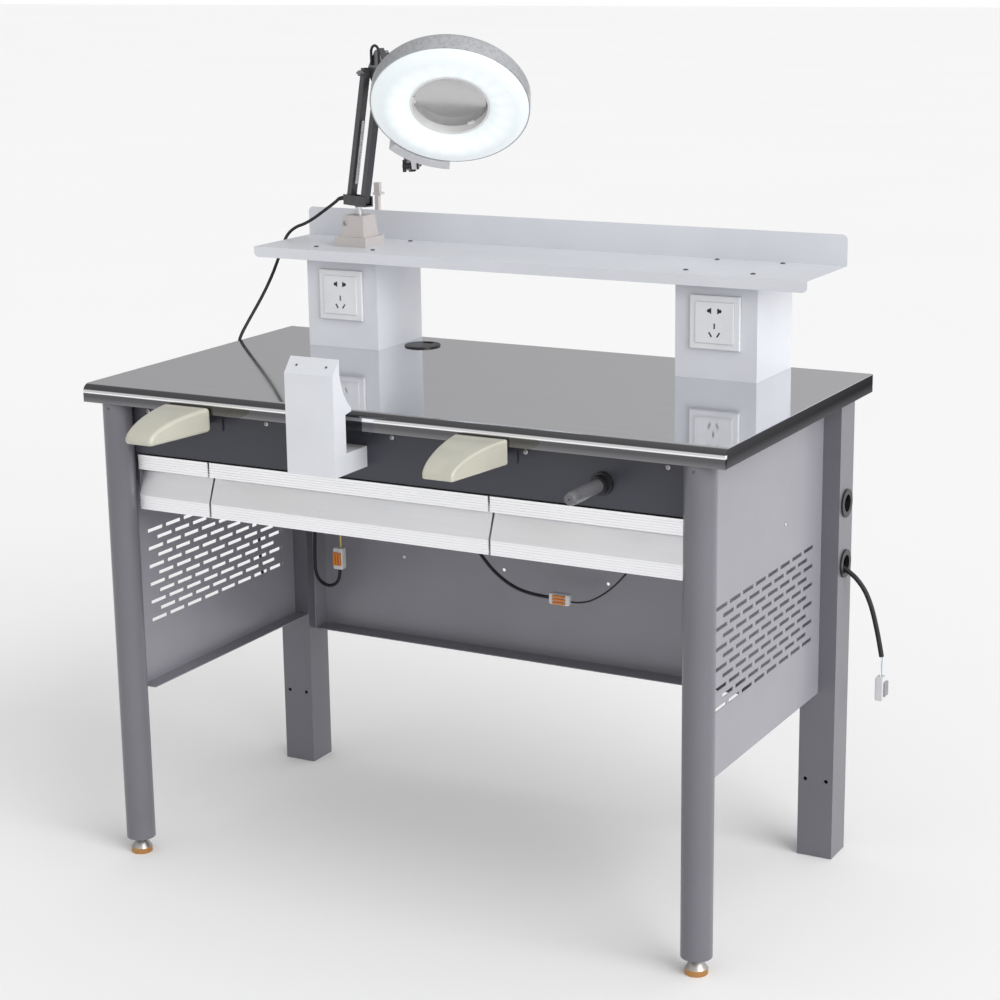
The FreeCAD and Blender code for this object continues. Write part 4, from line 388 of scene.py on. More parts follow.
@dataclass(frozen=True)
class LitDiffuser(Finish):
    """Opal ring lit from behind by a circle of small lights, which show as soft brighter spots."""

    colour: Colour
    centre: Point
    facing: Point
    across: Point
    spot_radius: float
    spots: int = 22
    strength: float = 0.5
    spot_core: float = 0.003
    spot_reach: float = 0.024

    def paint(self, graph: Graph) -> None:
        """Join the shader's nodes: brightness rises near evenly spaced points on one circle."""
        graph.set(Base_Color=(*self.colour, 1.0), Roughness=0.32, Emission_Color=(0.93, 0.98, 1.0, 1.0))
        offset = graph.add("ShaderNodeVectorMath", operation="SUBTRACT")
        offset.inputs[1].default_value = self.centre
        graph.link(graph.coords, offset.inputs[0])
        right, up = (
            self.part(graph, offset.outputs["Vector"], direction)
            for direction in (self.across, tuple(np.cross(self.facing, self.across)))
        )
        turns = graph.arithmetic("MULTIPLY", graph.arithmetic("ARCTAN2", up, right), self.spots / FULL_TURN)
        phase = graph.arithmetic("PINGPONG", turns, 0.5)
        arc = graph.arithmetic("MULTIPLY", phase, FULL_TURN * self.spot_radius / self.spots)
        away = graph.arithmetic("SUBTRACT", self.length(graph, right, up), self.spot_radius)
        distance = self.length(graph, arc, away)
        glow = graph.spread(distance, 1.3 * self.strength, 0.9 * self.strength, self.spot_core, self.spot_reach)
        graph.feed("Emission Strength", glow)
        graph.bump(graph.noise(700.0, 2.0), 0.01)

    def part(self, graph: Graph, vector: Socket, direction: Point) -> Socket:
        """Return the part of a vector that lies along a direction."""
        dot = graph.add("ShaderNodeVectorMath", operation="DOT_PRODUCT")
        dot.inputs[1].default_value = direction
        graph.link(vector, dot.inputs[0])
        return dot.outputs["Value"]

    def length(self, graph: Graph, first: Socket, second: Socket) -> Socket:
        """Return the length of a vector from its two parts."""
        squares = [graph.arithmetic("MULTIPLY", part, part) for part in (first, second)]
        return graph.arithmetic("SQRT", graph.arithmetic("ADD", *squares))


@dataclass(frozen=True)
class PlainFloor(Finish):
    """Pale, matt studio floor, all but even."""

    grey: float

    def paint(self, graph: Graph) -> None:
        """Join the shader's nodes."""
        graph.set(Roughness=0.85, Specular_IOR_Level=0.2)
        pale = (self.grey, self.grey, self.grey)
        graph.feed("Base Color", graph.tint(graph.noise(0.6, 1.0), shade(pale, 0.99), pale))


@dataclass(frozen=True)
class TwoTone(Finish):
    """Plated fitting whose lowest part has another colour, split at one height."""

    upper: Colour
    lower: Colour
    split: float
    metallic: float = 0.9
    blend: float = 0.0004
    smear_scale: float = 120.0
    skin_scale: float = 300.0
    skin_mm: float = 0.01

    def paint(self, graph: Graph) -> None:
        """Join the shader's nodes."""
        graph.set(Metallic=self.metallic)
        above = graph.spread(graph.coordinate("Z"), 0.0, 1.0, self.split - self.blend, self.split + self.blend)
        graph.feed("Base Color", graph.tint(above, self.lower, self.upper, 0.0, 1.0))
        graph.feed("Roughness", graph.spread(graph.noise(self.smear_scale), 0.24, 0.4))
        graph.bump(graph.noise(self.skin_scale), self.skin_mm)


# Stainless top whose edges carry a painted dark reflection and a painted highlight line.
STAINLESS = EdgedSteel("stainless_top", (0.73, 0.73, 0.76), 0.06, (4.0, 900.0, 900.0), 0.003, 0.3)
ANODISED = BrushedSteel("anodised_front", (0.96, 0.96, 0.98), 0.36, (6.0, 1400.0, 1400.0), 0.001, 0.2, 0.015)
ZINC = BrushedSteel("zinc_rail", (0.58, 0.58, 0.60), 0.32, (900.0, 5.0, 900.0))
BRIGHT = BrushedSteel("bright_wire", (0.72, 0.72, 0.74), 0.2, (600.0, 600.0, 600.0))
BLACKENED = BrushedSteel("blackened_screw", (0.16, 0.16, 0.17), 0.3, (700.0, 700.0, 700.0))
SCREW_ZINC = BrushedSteel("zinc_screw", (0.44, 0.44, 0.46), 0.3, (700.0, 700.0, 700.0))
LAMP_METAL = BrushedSteel("lamp_bracket_steel", (0.24, 0.24, 0.25), 0.32, (500.0, 500.0, 60.0))
GREY = PowderCoat("grey_powder_coat", (0.145, 0.143, 0.164), 0.3)
# Lighter copy of the legs' grey paint on the panels: painted light.
PANEL_GREY_PAINTED_LIGHT = PowderCoat("panel_powder_coat_painted_light", (0.275, 0.27, 0.302), 0.33)
DARK = PowderCoat("dark_powder_coat", (0.038, 0.040, 0.054), 0.34)
WHITE = PowderCoat("white_powder_coat", (0.66, 0.675, 0.715), 0.38, 0.006)
TRAY_GREY = PowderCoat("tray_powder_coat", (0.42, 0.43, 0.45))
BASE_PALE = PowderCoat("lamp_base_enamel", (0.52, 0.485, 0.475), 0.34)
TUBE = PowderCoat("arm_tube_enamel", (0.05, 0.05, 0.055), 0.3)
GUN = PowderCoat("air_gun_enamel", (0.12, 0.12, 0.13), 0.3)
BLACK = MouldedPlastic("black_moulding", (0.012, 0.012, 0.014), 0.36)
WOOD = MouldedPlastic("raw_board", (0.42, 0.32, 0.21), 0.7, 0.05)
CREAM = MouldedPlastic("cream_moulding", (0.50, 0.49, 0.415), 0.3, 0.01, 0.25, 0.2)
SOCKET_WHITE = MouldedPlastic("socket_moulding", (0.74, 0.75, 0.77), 0.24, 0.006, 0.05, 0.3)
PALE = MouldedPlastic("pale_moulding", (0.62, 0.62, 0.64), 0.38)
RING_PALE = MouldedPlastic("ring_moulding", (0.78, 0.78, 0.77), 0.35)
CLIP_GREY = MouldedPlastic("grey_lever", (0.30, 0.30, 0.31), 0.4)
LEVER = MouldedPlastic("orange_lever", (0.80, 0.25, 0.03), 0.35)
HAMMER = HammerPaint("hammer_silver", (0.49, 0.50, 0.52))
# Grey tint of the lens: painted shade over the view through it.
LENS_GLASS_PAINTED_SHADE = TintedGlass("lens_glass", (0.60, 0.60, 0.605))
FOOT = TwoTone("levelling_foot", (0.50, 0.48, 0.46), (0.52, 0.27, 0.10), 0.009)
CHROMED = TwoTone("swivel_metal", (0.09, 0.09, 0.095), (0.62, 0.62, 0.63), 1.036, 1.0)
SHEATH = Rubber("black_sheath", (0.010, 0.010, 0.012))
WIRE_WHITE = Rubber("white_wire", (0.75, 0.75, 0.74), 0.45)
WIRE_BLUE = Rubber("blue_wire", (0.03, 0.12, 0.42), 0.45)
WIRE_YELLOW = Rubber("yellow_wire", (0.62, 0.50, 0.16), 0.45)
WIRE_GREEN = Rubber("green_wire", (0.10, 0.34, 0.08), 0.45)
FLOOR = PlainFloor("studio_floor", 0.95)
DIFFUSER = LitDiffuser(
    "lit_diffuser",
    (0.46, 0.50, 0.51),
    centre=(-0.0659, 0.1000, 1.2245),
    facing=(0.3010, -0.6858, -0.6626),
    across=(-0.9157, -0.4019, 0.0),
    spot_radius=0.082,
)


def node(name: str) -> Piece:
    """Return a CAD node's object."""
    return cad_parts[name]


def dress(name: str, material: Material, bevel_mm: float = 0.4, steps: int = 2) -> None:
    """Give a CAD node its finish, with small rounded edges and smooth curves.

    Args:
        name: The node.
        material: Its finish.
        bevel_mm: Width of the rounding on its edges, or 0 for none.
        steps: Facets across that rounding.
    """
    piece = node(name)
    mesh = piece.data
    mesh.materials.clear()
    mesh.materials.append(material)
    smooth(mesh)
    weld = piece.modifiers.new("weld", "WELD")
    weld.merge_threshold = CAD_WELD
    if bevel_mm > 0.0:
        flat = piece.modifiers.new("flat", "DECIMATE")
        flat.decimate_type = "DISSOLVE"
        flat.angle_limit = FLAT_ANGLE
        bevel = piece.modifiers.new("edges", "BEVEL")
        bevel.width = bevel_mm * MM
        bevel.segments = steps
        bevel.limit_method = "ANGLE"
        bevel.angle_limit = EDGE_ANGLE
        bevel.use_clamp_overlap = True
    normals = piece.modifiers.new("normals", "WEIGHTED_NORMAL")
    normals.keep_sharp = False
    normals.weight = NORMAL_WEIGHT
    log.info("dressed %s with %s", name, material.name)


def smooth(mesh: bpy.types.Mesh) -> None:
    """Make every face of a mesh smooth."""
    mesh.polygons.foreach_set("use_smooth", np.ones(len(mesh.polygons), dtype=bool))


def link_object(name: str, data: bpy.types.ID) -> Piece:
    """Return a new object in the scene."""
    made = bpy.data.objects.new(name, data)
    bpy.context.scene.collection.objects.link(made)
    return made


@dataclass
class Cord:
    """One free cord: its route's points in metres, and its facts."""

    name: str
    nodes: tuple[str, ...]
    route: list[Point]
    diameter: float
    length: float
    far_end: str
    stiffness: str = "medium"
    lay: str = "hanging"

    def build(self, material: Material, riders: list[Piece]) -> Piece:
        """Make the cord as a smooth spline with the route's points as control points.

        Args:
            material: The cord's finish.
            riders: The pieces that go with it; not used.

        Returns:
            The curve object.
        """
        curve = bpy.data.curves.new(self.name, "CURVE")
        curve.dimensions = "3D"
        curve.bevel_depth = self.diameter / 2.0
        curve.bevel_resolution = 5
        curve.use_fill_caps = True
        curve.resolution_u = 10
        spline = curve.splines.new("NURBS")
        spline.points.add(len(self.route) - 1)
        weights = np.ones((len(self.route), 1))
        spline.points.foreach_set("co", np.hstack([np.array(self.route), weights]).ravel())
        spline.order_u = 3
        spline.use_endpoint_u = True
        curve.materials.append(material)
        piece = link_object(self.name, curve)
        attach(piece, "bench")
        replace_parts(piece, *self.nodes)
        log.info("cord %s", self.name)
        return piece


@dataclass(frozen=True)
class PhotoCamera:
    """Camera of the photograph, found from the worktop's edges."""

    place: Point = (1.727512, -3.026328, 1.488977)
    yaw: float = -0.501163
    pitch: float = -0.246340
    roll: float = -0.013552
    lens_mm: float = 81.098
    sensor_mm: float = 36.0

    def build(self) -> Piece:
        """Make the camera and set it as the scene's own."""
        east, north = math.sin(self.yaw), math.cos(self.yaw)
        ahead = Vector((east * math.cos(self.pitch), north * math.cos(self.pitch), math.sin(self.pitch)))
        right = Vector((north, -east, 0.0))
        up = right.cross(ahead)
        level = math.cos(self.roll) * right + math.sin(self.roll) * up
        upright = -math.sin(self.roll) * right + math.cos(self.roll) * up
        data = bpy.data.cameras.new("photo_camera")
        data.sensor_width = self.sensor_mm
        data.lens = self.lens_mm
        camera = link_object("photo_camera", data)
        turn = Matrix((level, upright, -ahead)).transposed().to_4x4()
        camera.matrix_world = Matrix.Translation(self.place) @ turn
        bpy.context.scene.camera = camera
        return camera


@dataclass(frozen=True)
class WideLight:
    """Far, wide light bank: even over the whole floor, with very soft shadows."""

    name: str
    towards: Point
    power: float
    spread: float

    def build(self) -> None:
        """Make the light."""
        data = bpy.data.lights.new(self.name, "SUN")
        data.angle = math.radians(self.spread)
        data.energy = self.power
        light = link_object(self.name, data)
        light.rotation_euler = Vector(self.towards).to_track_quat("Z", "Y").to_euler()


@dataclass(frozen=True)
class Studio:
    """Pale floor, a surround that is brighter on one side, and one wide key light."""

    floor_half: float = 40.0
    floor_height: float = -0.0005
    dim: float = 0.32
    bright: float = 0.94
    backdrop: float = 1.0
    brightest: Point = (0.87, -0.30, 0.40)
    key: WideLight = WideLight("key", (0.833, -0.306, 0.458), 1.95, 50.0)

    def build(self) -> None:
        """Make the floor, the surround and the light."""
        self.floor()
        self.surround()
        self.key.build()

    def floor(self) -> None:
        """Make the floor as one large square."""
        ring = np.array([(-1, -1), (1, -1), (1, 1), (-1, 1)], dtype=float) * self.floor_half
        corners = np.hstack([ring, np.full((4, 1), self.floor_height)])
        mesh = bpy.data.meshes.new("floor")
        mesh.from_pydata(corners.tolist(), [], [(0, 1, 2, 3)])
        mesh.materials.append(FLOOR.build())
        link_object("floor", mesh)

    def surround(self) -> None:
        """Make the world: its light grows towards one side, and the camera sees an even backdrop."""
        world = bpy.data.worlds.new("studio")
        world.use_nodes = True
        tree = world.node_tree
        background = tree.nodes["Background"]
        background.inputs["Color"].default_value = (1.0, 1.0, 1.0, 1.0)
        direction = tree.nodes.new("ShaderNodeTexCoord").outputs["Generated"]
        side = tree.nodes.new("ShaderNodeVectorMath")
        side.operation = "DOT_PRODUCT"
        side.inputs[1].default_value = self.brightest
        tree.links.new(direction, side.inputs[0])
        shaded = tree.nodes.new("ShaderNodeMapRange")
        shaded.inputs["From Min"].default_value = -1.0
        shaded.inputs["To Min"].default_value = self.dim
        shaded.inputs["To Max"].default_value = self.bright
        tree.links.new(side.outputs["Value"], shaded.inputs["Value"])
        strength = tree.nodes.new("ShaderNodeMix")
        strength.inputs["B"].default_value = self.backdrop
        seen = tree.nodes.new("ShaderNodeLightPath").outputs["Is Camera Ray"]
        tree.links.new(seen, strength.inputs["Factor"])
        tree.links.new(shaded.outputs["Result"], strength.inputs["A"])
        tree.links.new(strength.outputs["Result"], background.inputs["Strength"])
        bpy.context.scene.world = world
        bpy.context.scene.view_settings.view_transform = "Standard"


def grid_mesh(name: str, points: np.ndarray, backed: bool = False) -> bpy.types.Mesh:
    """Make one mesh from several surfaces, each a grid of points of two parameters.

    Args:
        name: The mesh's name.
        points: Array of surfaces x rows x columns x 3, in metres.
        backed: Whether one flat face closes a single grid. Otherwise the last column joins the first.

    Returns:
        The mesh, with smooth faces.
    """
    surfaces, rows, columns, _ = points.shape
    index = np.arange(surfaces * rows * columns).reshape(surfaces, rows, columns)
    beside = np.roll(index, -1, axis=2)
    quads = np.stack([index[:, :-1], beside[:, :-1], beside[:, 1:], index[:, 1:]], axis=-1)
    if backed:
        first = index[0]
        rim = np.concatenate([first[:-1, 0], first[-1, :-1], first[:0:-1, -1], first[0, :0:-1]])
        faces = quads[:, :, :-1].reshape(-1, 4).tolist() + [rim.tolist()]
    else:
        faces = quads.reshape(-1, 4).tolist()
    mesh = bpy.data.meshes.new(name)
    mesh.from_pydata(points.reshape(-1, 3).tolist(), [], faces)
    smooth(mesh)
    return mesh


def place(name: str, mesh: bpy.types.Mesh, materials: list[Material], slot: str, body: str = "bench") -> Piece:
    """Put a new piece on one of the object's bodies.

    Args:
        name: The piece's name.
        mesh: Its surface, already in place.
        materials: Its finishes, in the order of the mesh's indices.
        slot: The record's finish meant for it; not used.
        body: The body that carries it.

    Returns:
        The new object.
    """
    for material in materials:
        mesh.materials.append(material)
    piece = link_object(name, mesh)
    weld = piece.modifiers.new("weld", "WELD")
    weld.merge_threshold = PIECE_WELD
    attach(piece, body)
    log.info("made %s", name)
    return piece


def power(value: np.ndarray, exponent: float) -> np.ndarray:
    """Return a signed power, which squares off a circle as the exponent falls."""
    return np.sign(value) * np.abs(value) ** exponent


def circle(columns: int) -> np.ndarray:
    """Return evenly spaced angles of one full turn, without the last."""
    return np.linspace(0.0, FULL_TURN, columns, endpoint=False)


def rounded_boxes(centres: np.ndarray, halves: np.ndarray, exponent: float = 0.22) -> np.ndarray:
    """Return boxes with rounded edges: each coordinate is a signed power of the sphere's own.

    Args:
        centres: Array of boxes x 3.
        halves: Half sizes, boxes x 3.
        exponent: 1 gives a ball and values near 0 a sharp box.

    Returns:
        Points of boxes x rows x columns x 3.
    """
    rise = np.linspace(-QUARTER_TURN, QUARTER_TURN, BOX_ROWS)[:, None]
    around = circle(BOX_COLUMNS)[None, :]
    girth = power(np.cos(rise), exponent)
    girth[[0, -1]] = 0.0
    unit = np.stack(
        [
            girth * power(np.cos(around), exponent),
            girth * power(np.sin(around), exponent),
            power(np.sin(rise), exponent) * np.ones_like(around),
        ],
        axis=-1,
    )
    return centres[:, None, None, :] + unit[None] * halves[:, None, None, :]


def turned(
    path: np.ndarray, radii: np.ndarray, columns: int = 32, seed: np.ndarray | None = None
) -> np.ndarray:
    """Return a round skin along a path: a circle of each radius, square to the path, with flat ends.

    Args:
        path: Points of the centre line, rows x 3.
        radii: The radius at each point.
        columns: Points round each circle.
        seed: A direction that the path never takes, if not an axis.

    Returns:
        Points of 1 x (rows + 2) x columns x 3.
    """
    ahead = np.gradient(path, axis=0)
    ahead /= np.linalg.norm(ahead, axis=1, keepdims=True)
    if seed is None:
        seed = np.eye(3)[np.argmin(np.abs(ahead).max(axis=0))]
    side = np.cross(ahead, seed)
    side /= np.linalg.norm(side, axis=1, keepdims=True)
    up = np.cross(ahead, side)
    angle = circle(columns)[None, :, None]
    ring = np.cos(angle) * side[:, None] + np.sin(angle) * up[:, None]
    skin = path[:, None] + radii[:, None, None] * ring
    caps = np.broadcast_to(path[[0, -1], None], (2, columns, 3))
    return np.concatenate([caps[:1], skin, caps[1:]])[None]


def metres(points: list[Point]) -> list[Point]:
    """Return points given in millimetres in metres."""
    return [tuple(round(value * MM, 6) for value in point) for point in points]


@dataclass(frozen=True)
class ScrewHeads:
    """Pan-head screws with a cross recess, all of one size. Shares are parts of the radius or the height."""

    name: str
    spots: list[tuple[Point, Axis]]
    radius_mm: float = 4.0
    height_mm: float = 2.2
    rim_share: float = 0.4
    slot_share: float = 0.14
    slot_slope: float = 0.07
    cross_share: float = 0.6
    cross_slope: float = 0.08
    depth_share: float = 0.55
    rows: int = 26
    columns: int = 64

    def build(self, material: Material) -> Piece:
        """Make the heads: height falls as a quarter ellipse with the radius, less a cross-shaped recess.

        Args:
            material: The screws' finish.

        Returns:
            One object that holds every head.
        """
        height = self.height_mm * MM
        share = np.concatenate([[0.0, 1.0], np.sin(np.linspace(QUARTER_TURN, 0.0, self.rows))])[:, None]
        angle = circle(self.columns)[None, :]
        across, up = share * np.cos(angle), share * np.sin(angle)
        dome = self.rim_share + (1.0 - self.rim_share) * np.sqrt(np.clip(1.0 - share**2, 0.0, 1.0))
        near, far = np.minimum(abs(across), abs(up)), np.maximum(abs(across), abs(up))
        narrow = np.clip((self.slot_share - near) / self.slot_slope, 0.0, 1.0)
        inside = np.clip((self.cross_share - far) / self.cross_slope, 0.0, 1.0)
        lift = height * (dome - self.depth_share * narrow * inside)
        lift[:2] = 0.0
        facing = np.array([axis.value for _, axis in self.spots])
        sideways = np.abs(facing[:, :1]) > 0.9
        side = np.cross(facing, np.where(sideways, [[0.0, 1.0, 0.0]], [[1.0, 0.0, 0.0]]))
        points = np.array([spot for spot, _ in self.spots])[:, None, None, :]
        radius = self.radius_mm * MM
        steps = ((facing, lift), (side, radius * across), (np.cross(facing, side), radius * up))
        for direction, reach in steps:
            points = points + direction[:, None, None, :] * reach[None, :, :, None]
        return place(self.name, grid_mesh(self.name, points), [material], "screw_steel")


@dataclass(frozen=True)
class LeverConnector:
    """Cable connector: a rounded block with three coloured levers on one face."""

    name: str
    start: Point
    along: Point
    face: Point
    levers: int = 3
    half_mm: Point = (10.0, 7.0, 20.0)
    lever_span_mm: float = 18.0
    lever_rise_mm: float = 8.2
    lever_half_mm: tuple[float, float] = (2.3, 12.0)
    lever_gap_mm: float = 1.1

    def build(self, body: Material, lever: Material) -> Piece:
        """Make the block and its levers, which stand for part of the CAD's cord fittings.

        Args:
            body: Finish of the block.
            lever: Finish of the levers.

        Returns:
            The connector.
        """
        along, face = np.array(self.along), np.array(self.face)
        step = self.lever_span_mm / self.levers
        middles = (np.arange(self.levers) - (self.levers - 1) / 2.0) * step
        half_long = self.half_mm[2]
        centres = [(0.0, 0.0, half_long)] + [(middle, self.lever_rise_mm, half_long) for middle in middles]
        halves = [self.half_mm] + [(step / 2.0 - self.lever_gap_mm, *self.lever_half_mm)] * self.levers
        local = rounded_boxes(np.array(centres), np.array(halves)) * MM
        points = np.array(self.start) + local @ np.stack([np.cross(face, along), face, along])
        mesh = grid_mesh(self.name, points)
        quads = len(mesh.polygons) // (self.levers + 1)
        mesh.polygons.foreach_set("material_index", (np.arange(len(mesh.polygons)) >= quads).astype(np.int32))
        piece = place(self.name, mesh, [body, lever], "white_plastic")
        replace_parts(piece, "cord_fittings")
        return piece


@dataclass(frozen=True)
class CoilTie:
    """Push-in tie: a flat band round the coil's strands, with a barbed stem in the back panel."""

    name: str
    hole: Point
    coil_front: float
    coil_back: float
    strand_radius: float = 0.0028
    play: float = 0.0009
    band_half_width: float = 0.002
    band_half_thick: float = 0.0006
    stem_start: float = 0.0012
    stem: Pairs = (
        (0.0, 0.0022), (0.0018, 0.0022), (0.0033, 0.0022), (0.0034, 0.0038), (0.0044, 0.0034), (0.0054, 0.0012),
    )

    def build(self, material: Material) -> list[Piece]:
        """Make the band as a flat profile along a rounded rectangle, and the stem as a turned form.

        Args:
            material: The tie's finish.

        Returns:
            The band and the stem.
        """
        x, _, z = self.hole
        middle = (self.coil_front + self.coil_back) / 2.0
        turn = circle(96)[None, :]
        rim = np.linspace(FULL_TURN, 0.0, 24)[:, None]
        grow = self.band_half_thick * power(np.sin(rim), 0.4)
        half_y = (self.coil_back - self.coil_front) / 2.0 + self.play + grow
        half_z = self.strand_radius + self.play + grow
        band = np.stack(
            [
                x + self.band_half_width * power(np.cos(rim), 0.4) * np.ones_like(turn),
                middle + half_y * power(np.cos(turn), 0.35),
                z + half_z * power(np.sin(turn), 0.35),
            ],
            axis=-1,
        )[None]
        reach, radii = np.array(self.stem).T
        ends = np.ones_like(reach)
        path = np.stack([x * ends, self.coil_front - self.stem_start - reach, z * ends], axis=-1)
        pieces = []
        for name, skin in ((self.name, band), ("tie_stem", turned(path, radii))):
            piece = place(name, grid_mesh(name, skin), [material], "white_plastic")
            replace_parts(piece, "cord_fittings")
            pieces.append(piece)
        return pieces


@dataclass(frozen=True)
class StrainRelief:
    """Ribbed, tapered sleeve on a cord's first span, which is a parabola of the route's first points."""

    name: str
    route: list[Point]
    thick_mm: float
    thin_mm: float
    reach_mm: float = 20.0
    ribs: int = 6
    groove_mm: float = 0.35
    groove_cosine: float = -0.3
    plain_start: float = 0.05
    plain_end: float = 0.97
    end_radius_mm: float = 2.0
    rows: int = 73
    samples: int = 400

    def build(self, material: Material) -> Piece:
        """Make the sleeve: its radius falls along the span, with a shallow groove between ribs.

        Args:
            material: The sleeve's finish.

        Returns:
            The sleeve.
        """
        first, second, third = (np.array(point) for point in self.route[:3])
        share = np.linspace(0.0, 1.0, self.samples)[:, None]
        span = (1 - share) ** 2 * first + 2 * share * (1 - share) * second + share**2 * (second + third) / 2
        run = np.concatenate([[0.0], np.cumsum(np.linalg.norm(np.diff(span, axis=0), axis=1))])
        stops = np.linspace(0.0, min(self.reach_mm * MM, run[-1]), self.rows)
        path = np.stack([np.interp(stops, run, span[:, axis]) for axis in range(3)], axis=-1)
        along = np.linspace(0.0, 1.0, self.rows)
        grooved = np.cos(FULL_TURN * self.ribs * along) < self.groove_cosine
        groove = self.groove_mm * grooved * (along < self.plain_end) * (along > self.plain_start)
        radii = (self.thick_mm + (self.thin_mm - self.thick_mm) * along - groove) * MM
        radii[[0, -1]] = self.end_radius_mm * MM
        return place(self.name, grid_mesh(self.name, turned(path, radii)), [material], "black_rubber")


@dataclass(frozen=True)
class BalanceSpring:
    """Close-wound spring beside an arm tube: a fine wire on a helix, its two ends run into the tube's wall."""

    name: str
    stands_for: str
    body: str
    seat: Point
    along: Point
    out: Point
    length_mm: float
    turns: int
    stand_off_mm: float = 4.0
    radius_mm: float = 2.9
    wire_mm: float = 0.45
    points_per_turn: int = 20
    columns: int = 8

    def build(self, material: Material) -> Piece:
        """Make the spring as a round profile along its helix.

        Args:
            material: The wire's finish.

        Returns:
            The spring.
        """
        seat, along, out = np.array(self.seat), np.array(self.along), np.array(self.out)
        side = np.cross(out, along) * self.radius_mm * MM
        turn = np.linspace(0.0, FULL_TURN * (self.turns + 0.5), self.points_per_turn * self.turns)[:, None]
        run = along * self.length_mm * MM
        middle = seat + out * self.stand_off_mm * MM + run * turn / turn[-1]
        coil = middle - side * np.cos(turn) + out * self.radius_mm * MM * np.sin(turn)
        path = np.vstack([seat - side, coil, seat + run + side])
        skin = turned(path, np.full(len(path), self.wire_mm * MM), self.columns, along)
        spring = place(self.name, grid_mesh(self.name, skin), [material], "spring_steel", self.body)
        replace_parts(spring, self.stands_for)
        return spring


@dataclass(frozen=True)
class MainsSocket:
    """Five-hole mains socket as one height field: bevelled frame, groove, raised insert and sunk openings."""

    name: str
    middle: Point
    flat_pin_mm: float = 6.35
    round_pin_mm: float = 9.5
    round_radius_mm: float = 2.8
    two_pin_rise_mm: float = 18.9
    earth_drop_mm: float = 5.1
    slant_pin_mm: float = 6.85
    slant_drop_mm: float = 18.8
    lean: float = math.radians(32.0)
    slot_half_width_mm: float = 1.2
    slot_half_height_mm: float = 4.2
    sunk_mm: float = 1.6
    edge_mm: float = 0.25
    fine_reach_mm: tuple[int, int] = (14, 24)
    lines_per_mm: int = 4
    profile: Pairs = (
        (32.0, 7.5), (32.3, 7.5), (32.7, 7.2), (32.75, 5.2), (33.15, 5.2), (33.2, 5.8), (33.5, 6.0),
        (33.8, 6.0), (41.0, 6.0), (41.3, 6.0), (42.2, 5.7), (42.8, 4.9), (42.99, 4.0), (43.0, 0.0),
    )

    def openings(self, x: np.ndarray, z: np.ndarray) -> np.ndarray:
        """Return 1 inside the openings and 0 outside, with a narrow soft edge.

        Args:
            x: Places across the socket, in millimetres.
            z: Places up the socket, in millimetres.

        Returns:
            The share of the full depth at each place.
        """
        slots = [(0.0, -self.earth_drop_mm, 0.0)]
        within = []
        for side in (-1.0, 1.0):
            slots.append((side * self.flat_pin_mm, self.two_pin_rise_mm, 0.0))
            slots.append((side * self.slant_pin_mm, -self.slant_drop_mm, side * self.lean))
            away = np.hypot(x - side * self.round_pin_mm, z - self.two_pin_rise_mm)
            within.append(self.round_radius_mm - away)
        for across, up, turn in slots:
            short = (x - across) * math.cos(turn) - (z - up) * math.sin(turn)
            long = (x - across) * math.sin(turn) + (z - up) * math.cos(turn)
            margins = (self.slot_half_width_mm - abs(short), self.slot_half_height_mm - abs(long))
            within.append(np.minimum(*margins))
        return np.clip(np.max(within, axis=0) / self.edge_mm + 0.5, 0.0, 1.0)

    def lines(self, reach: int, rim: np.ndarray) -> np.ndarray:
        """Return the grid's lines on one axis: fine within the reach, and the profile's own outside it."""
        fine = np.linspace(-reach, reach, 2 * reach * self.lines_per_mm + 1)
        return np.concatenate([-rim[::-1], fine, rim])

    def build(self, white: Material, dark: Material) -> Piece:
        """Make the socket: its height depends on the distance from the middle, less the openings' depth.

        Args:
            white: Finish of the moulding.
            dark: Finish of the openings' insides.

        Returns:
            The socket.
        """
        rim, lift = np.array(self.profile).T
        x, z = np.meshgrid(*(self.lines(reach, rim) for reach in self.fine_reach_mm))
        sunk = self.openings(x, z)
        rise = np.interp(np.maximum(abs(x), abs(z)), rim, lift) - self.sunk_mm * sunk
        points = np.array(self.middle) + np.stack([x, -rise, z], axis=-1) * MM
        mesh = grid_mesh(self.name, points[None], backed=True)
        inside = sunk[:-1, :-1] + sunk[1:, 1:] > 0.5
        mesh.polygons.foreach_set("material_index", np.append(inside, False).astype(np.int32))
        piece = place(self.name, mesh, [white, dark], "white_plastic")
        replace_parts(piece, "mains_sockets")
        return piece


@dataclass(frozen=True)
class Look:
    """One finish with the rounding of its edges, and the CAD nodes that have them."""

    finish: Finish
    edge_mm: float
    nodes: tuple[str, ...]
    steps: int = 2


class Assembly:
    """Sub-assembly whose CAD nodes are dressed from a table of looks."""

    looks: tuple[Look, ...]

    def dress(self) -> None:
        """Give every CAD node its finish."""
        for look in self.looks:
            material = look.finish.build()
            for name in look.nodes:
                dress(name, material, look.edge_mm, look.steps)


@dataclass(frozen=True)
class Worktop(Assembly):
    """Stainless top with its cable outlet."""

    looks: tuple[Look, ...] = (
        Look(STAINLESS, 0.25, ("worktop_skin",)),
        Look(WOOD, 0.0, ("worktop_core",)),
        Look(BLACK, 0.3, ("desk_grommet", "grommet_cap")),
    )


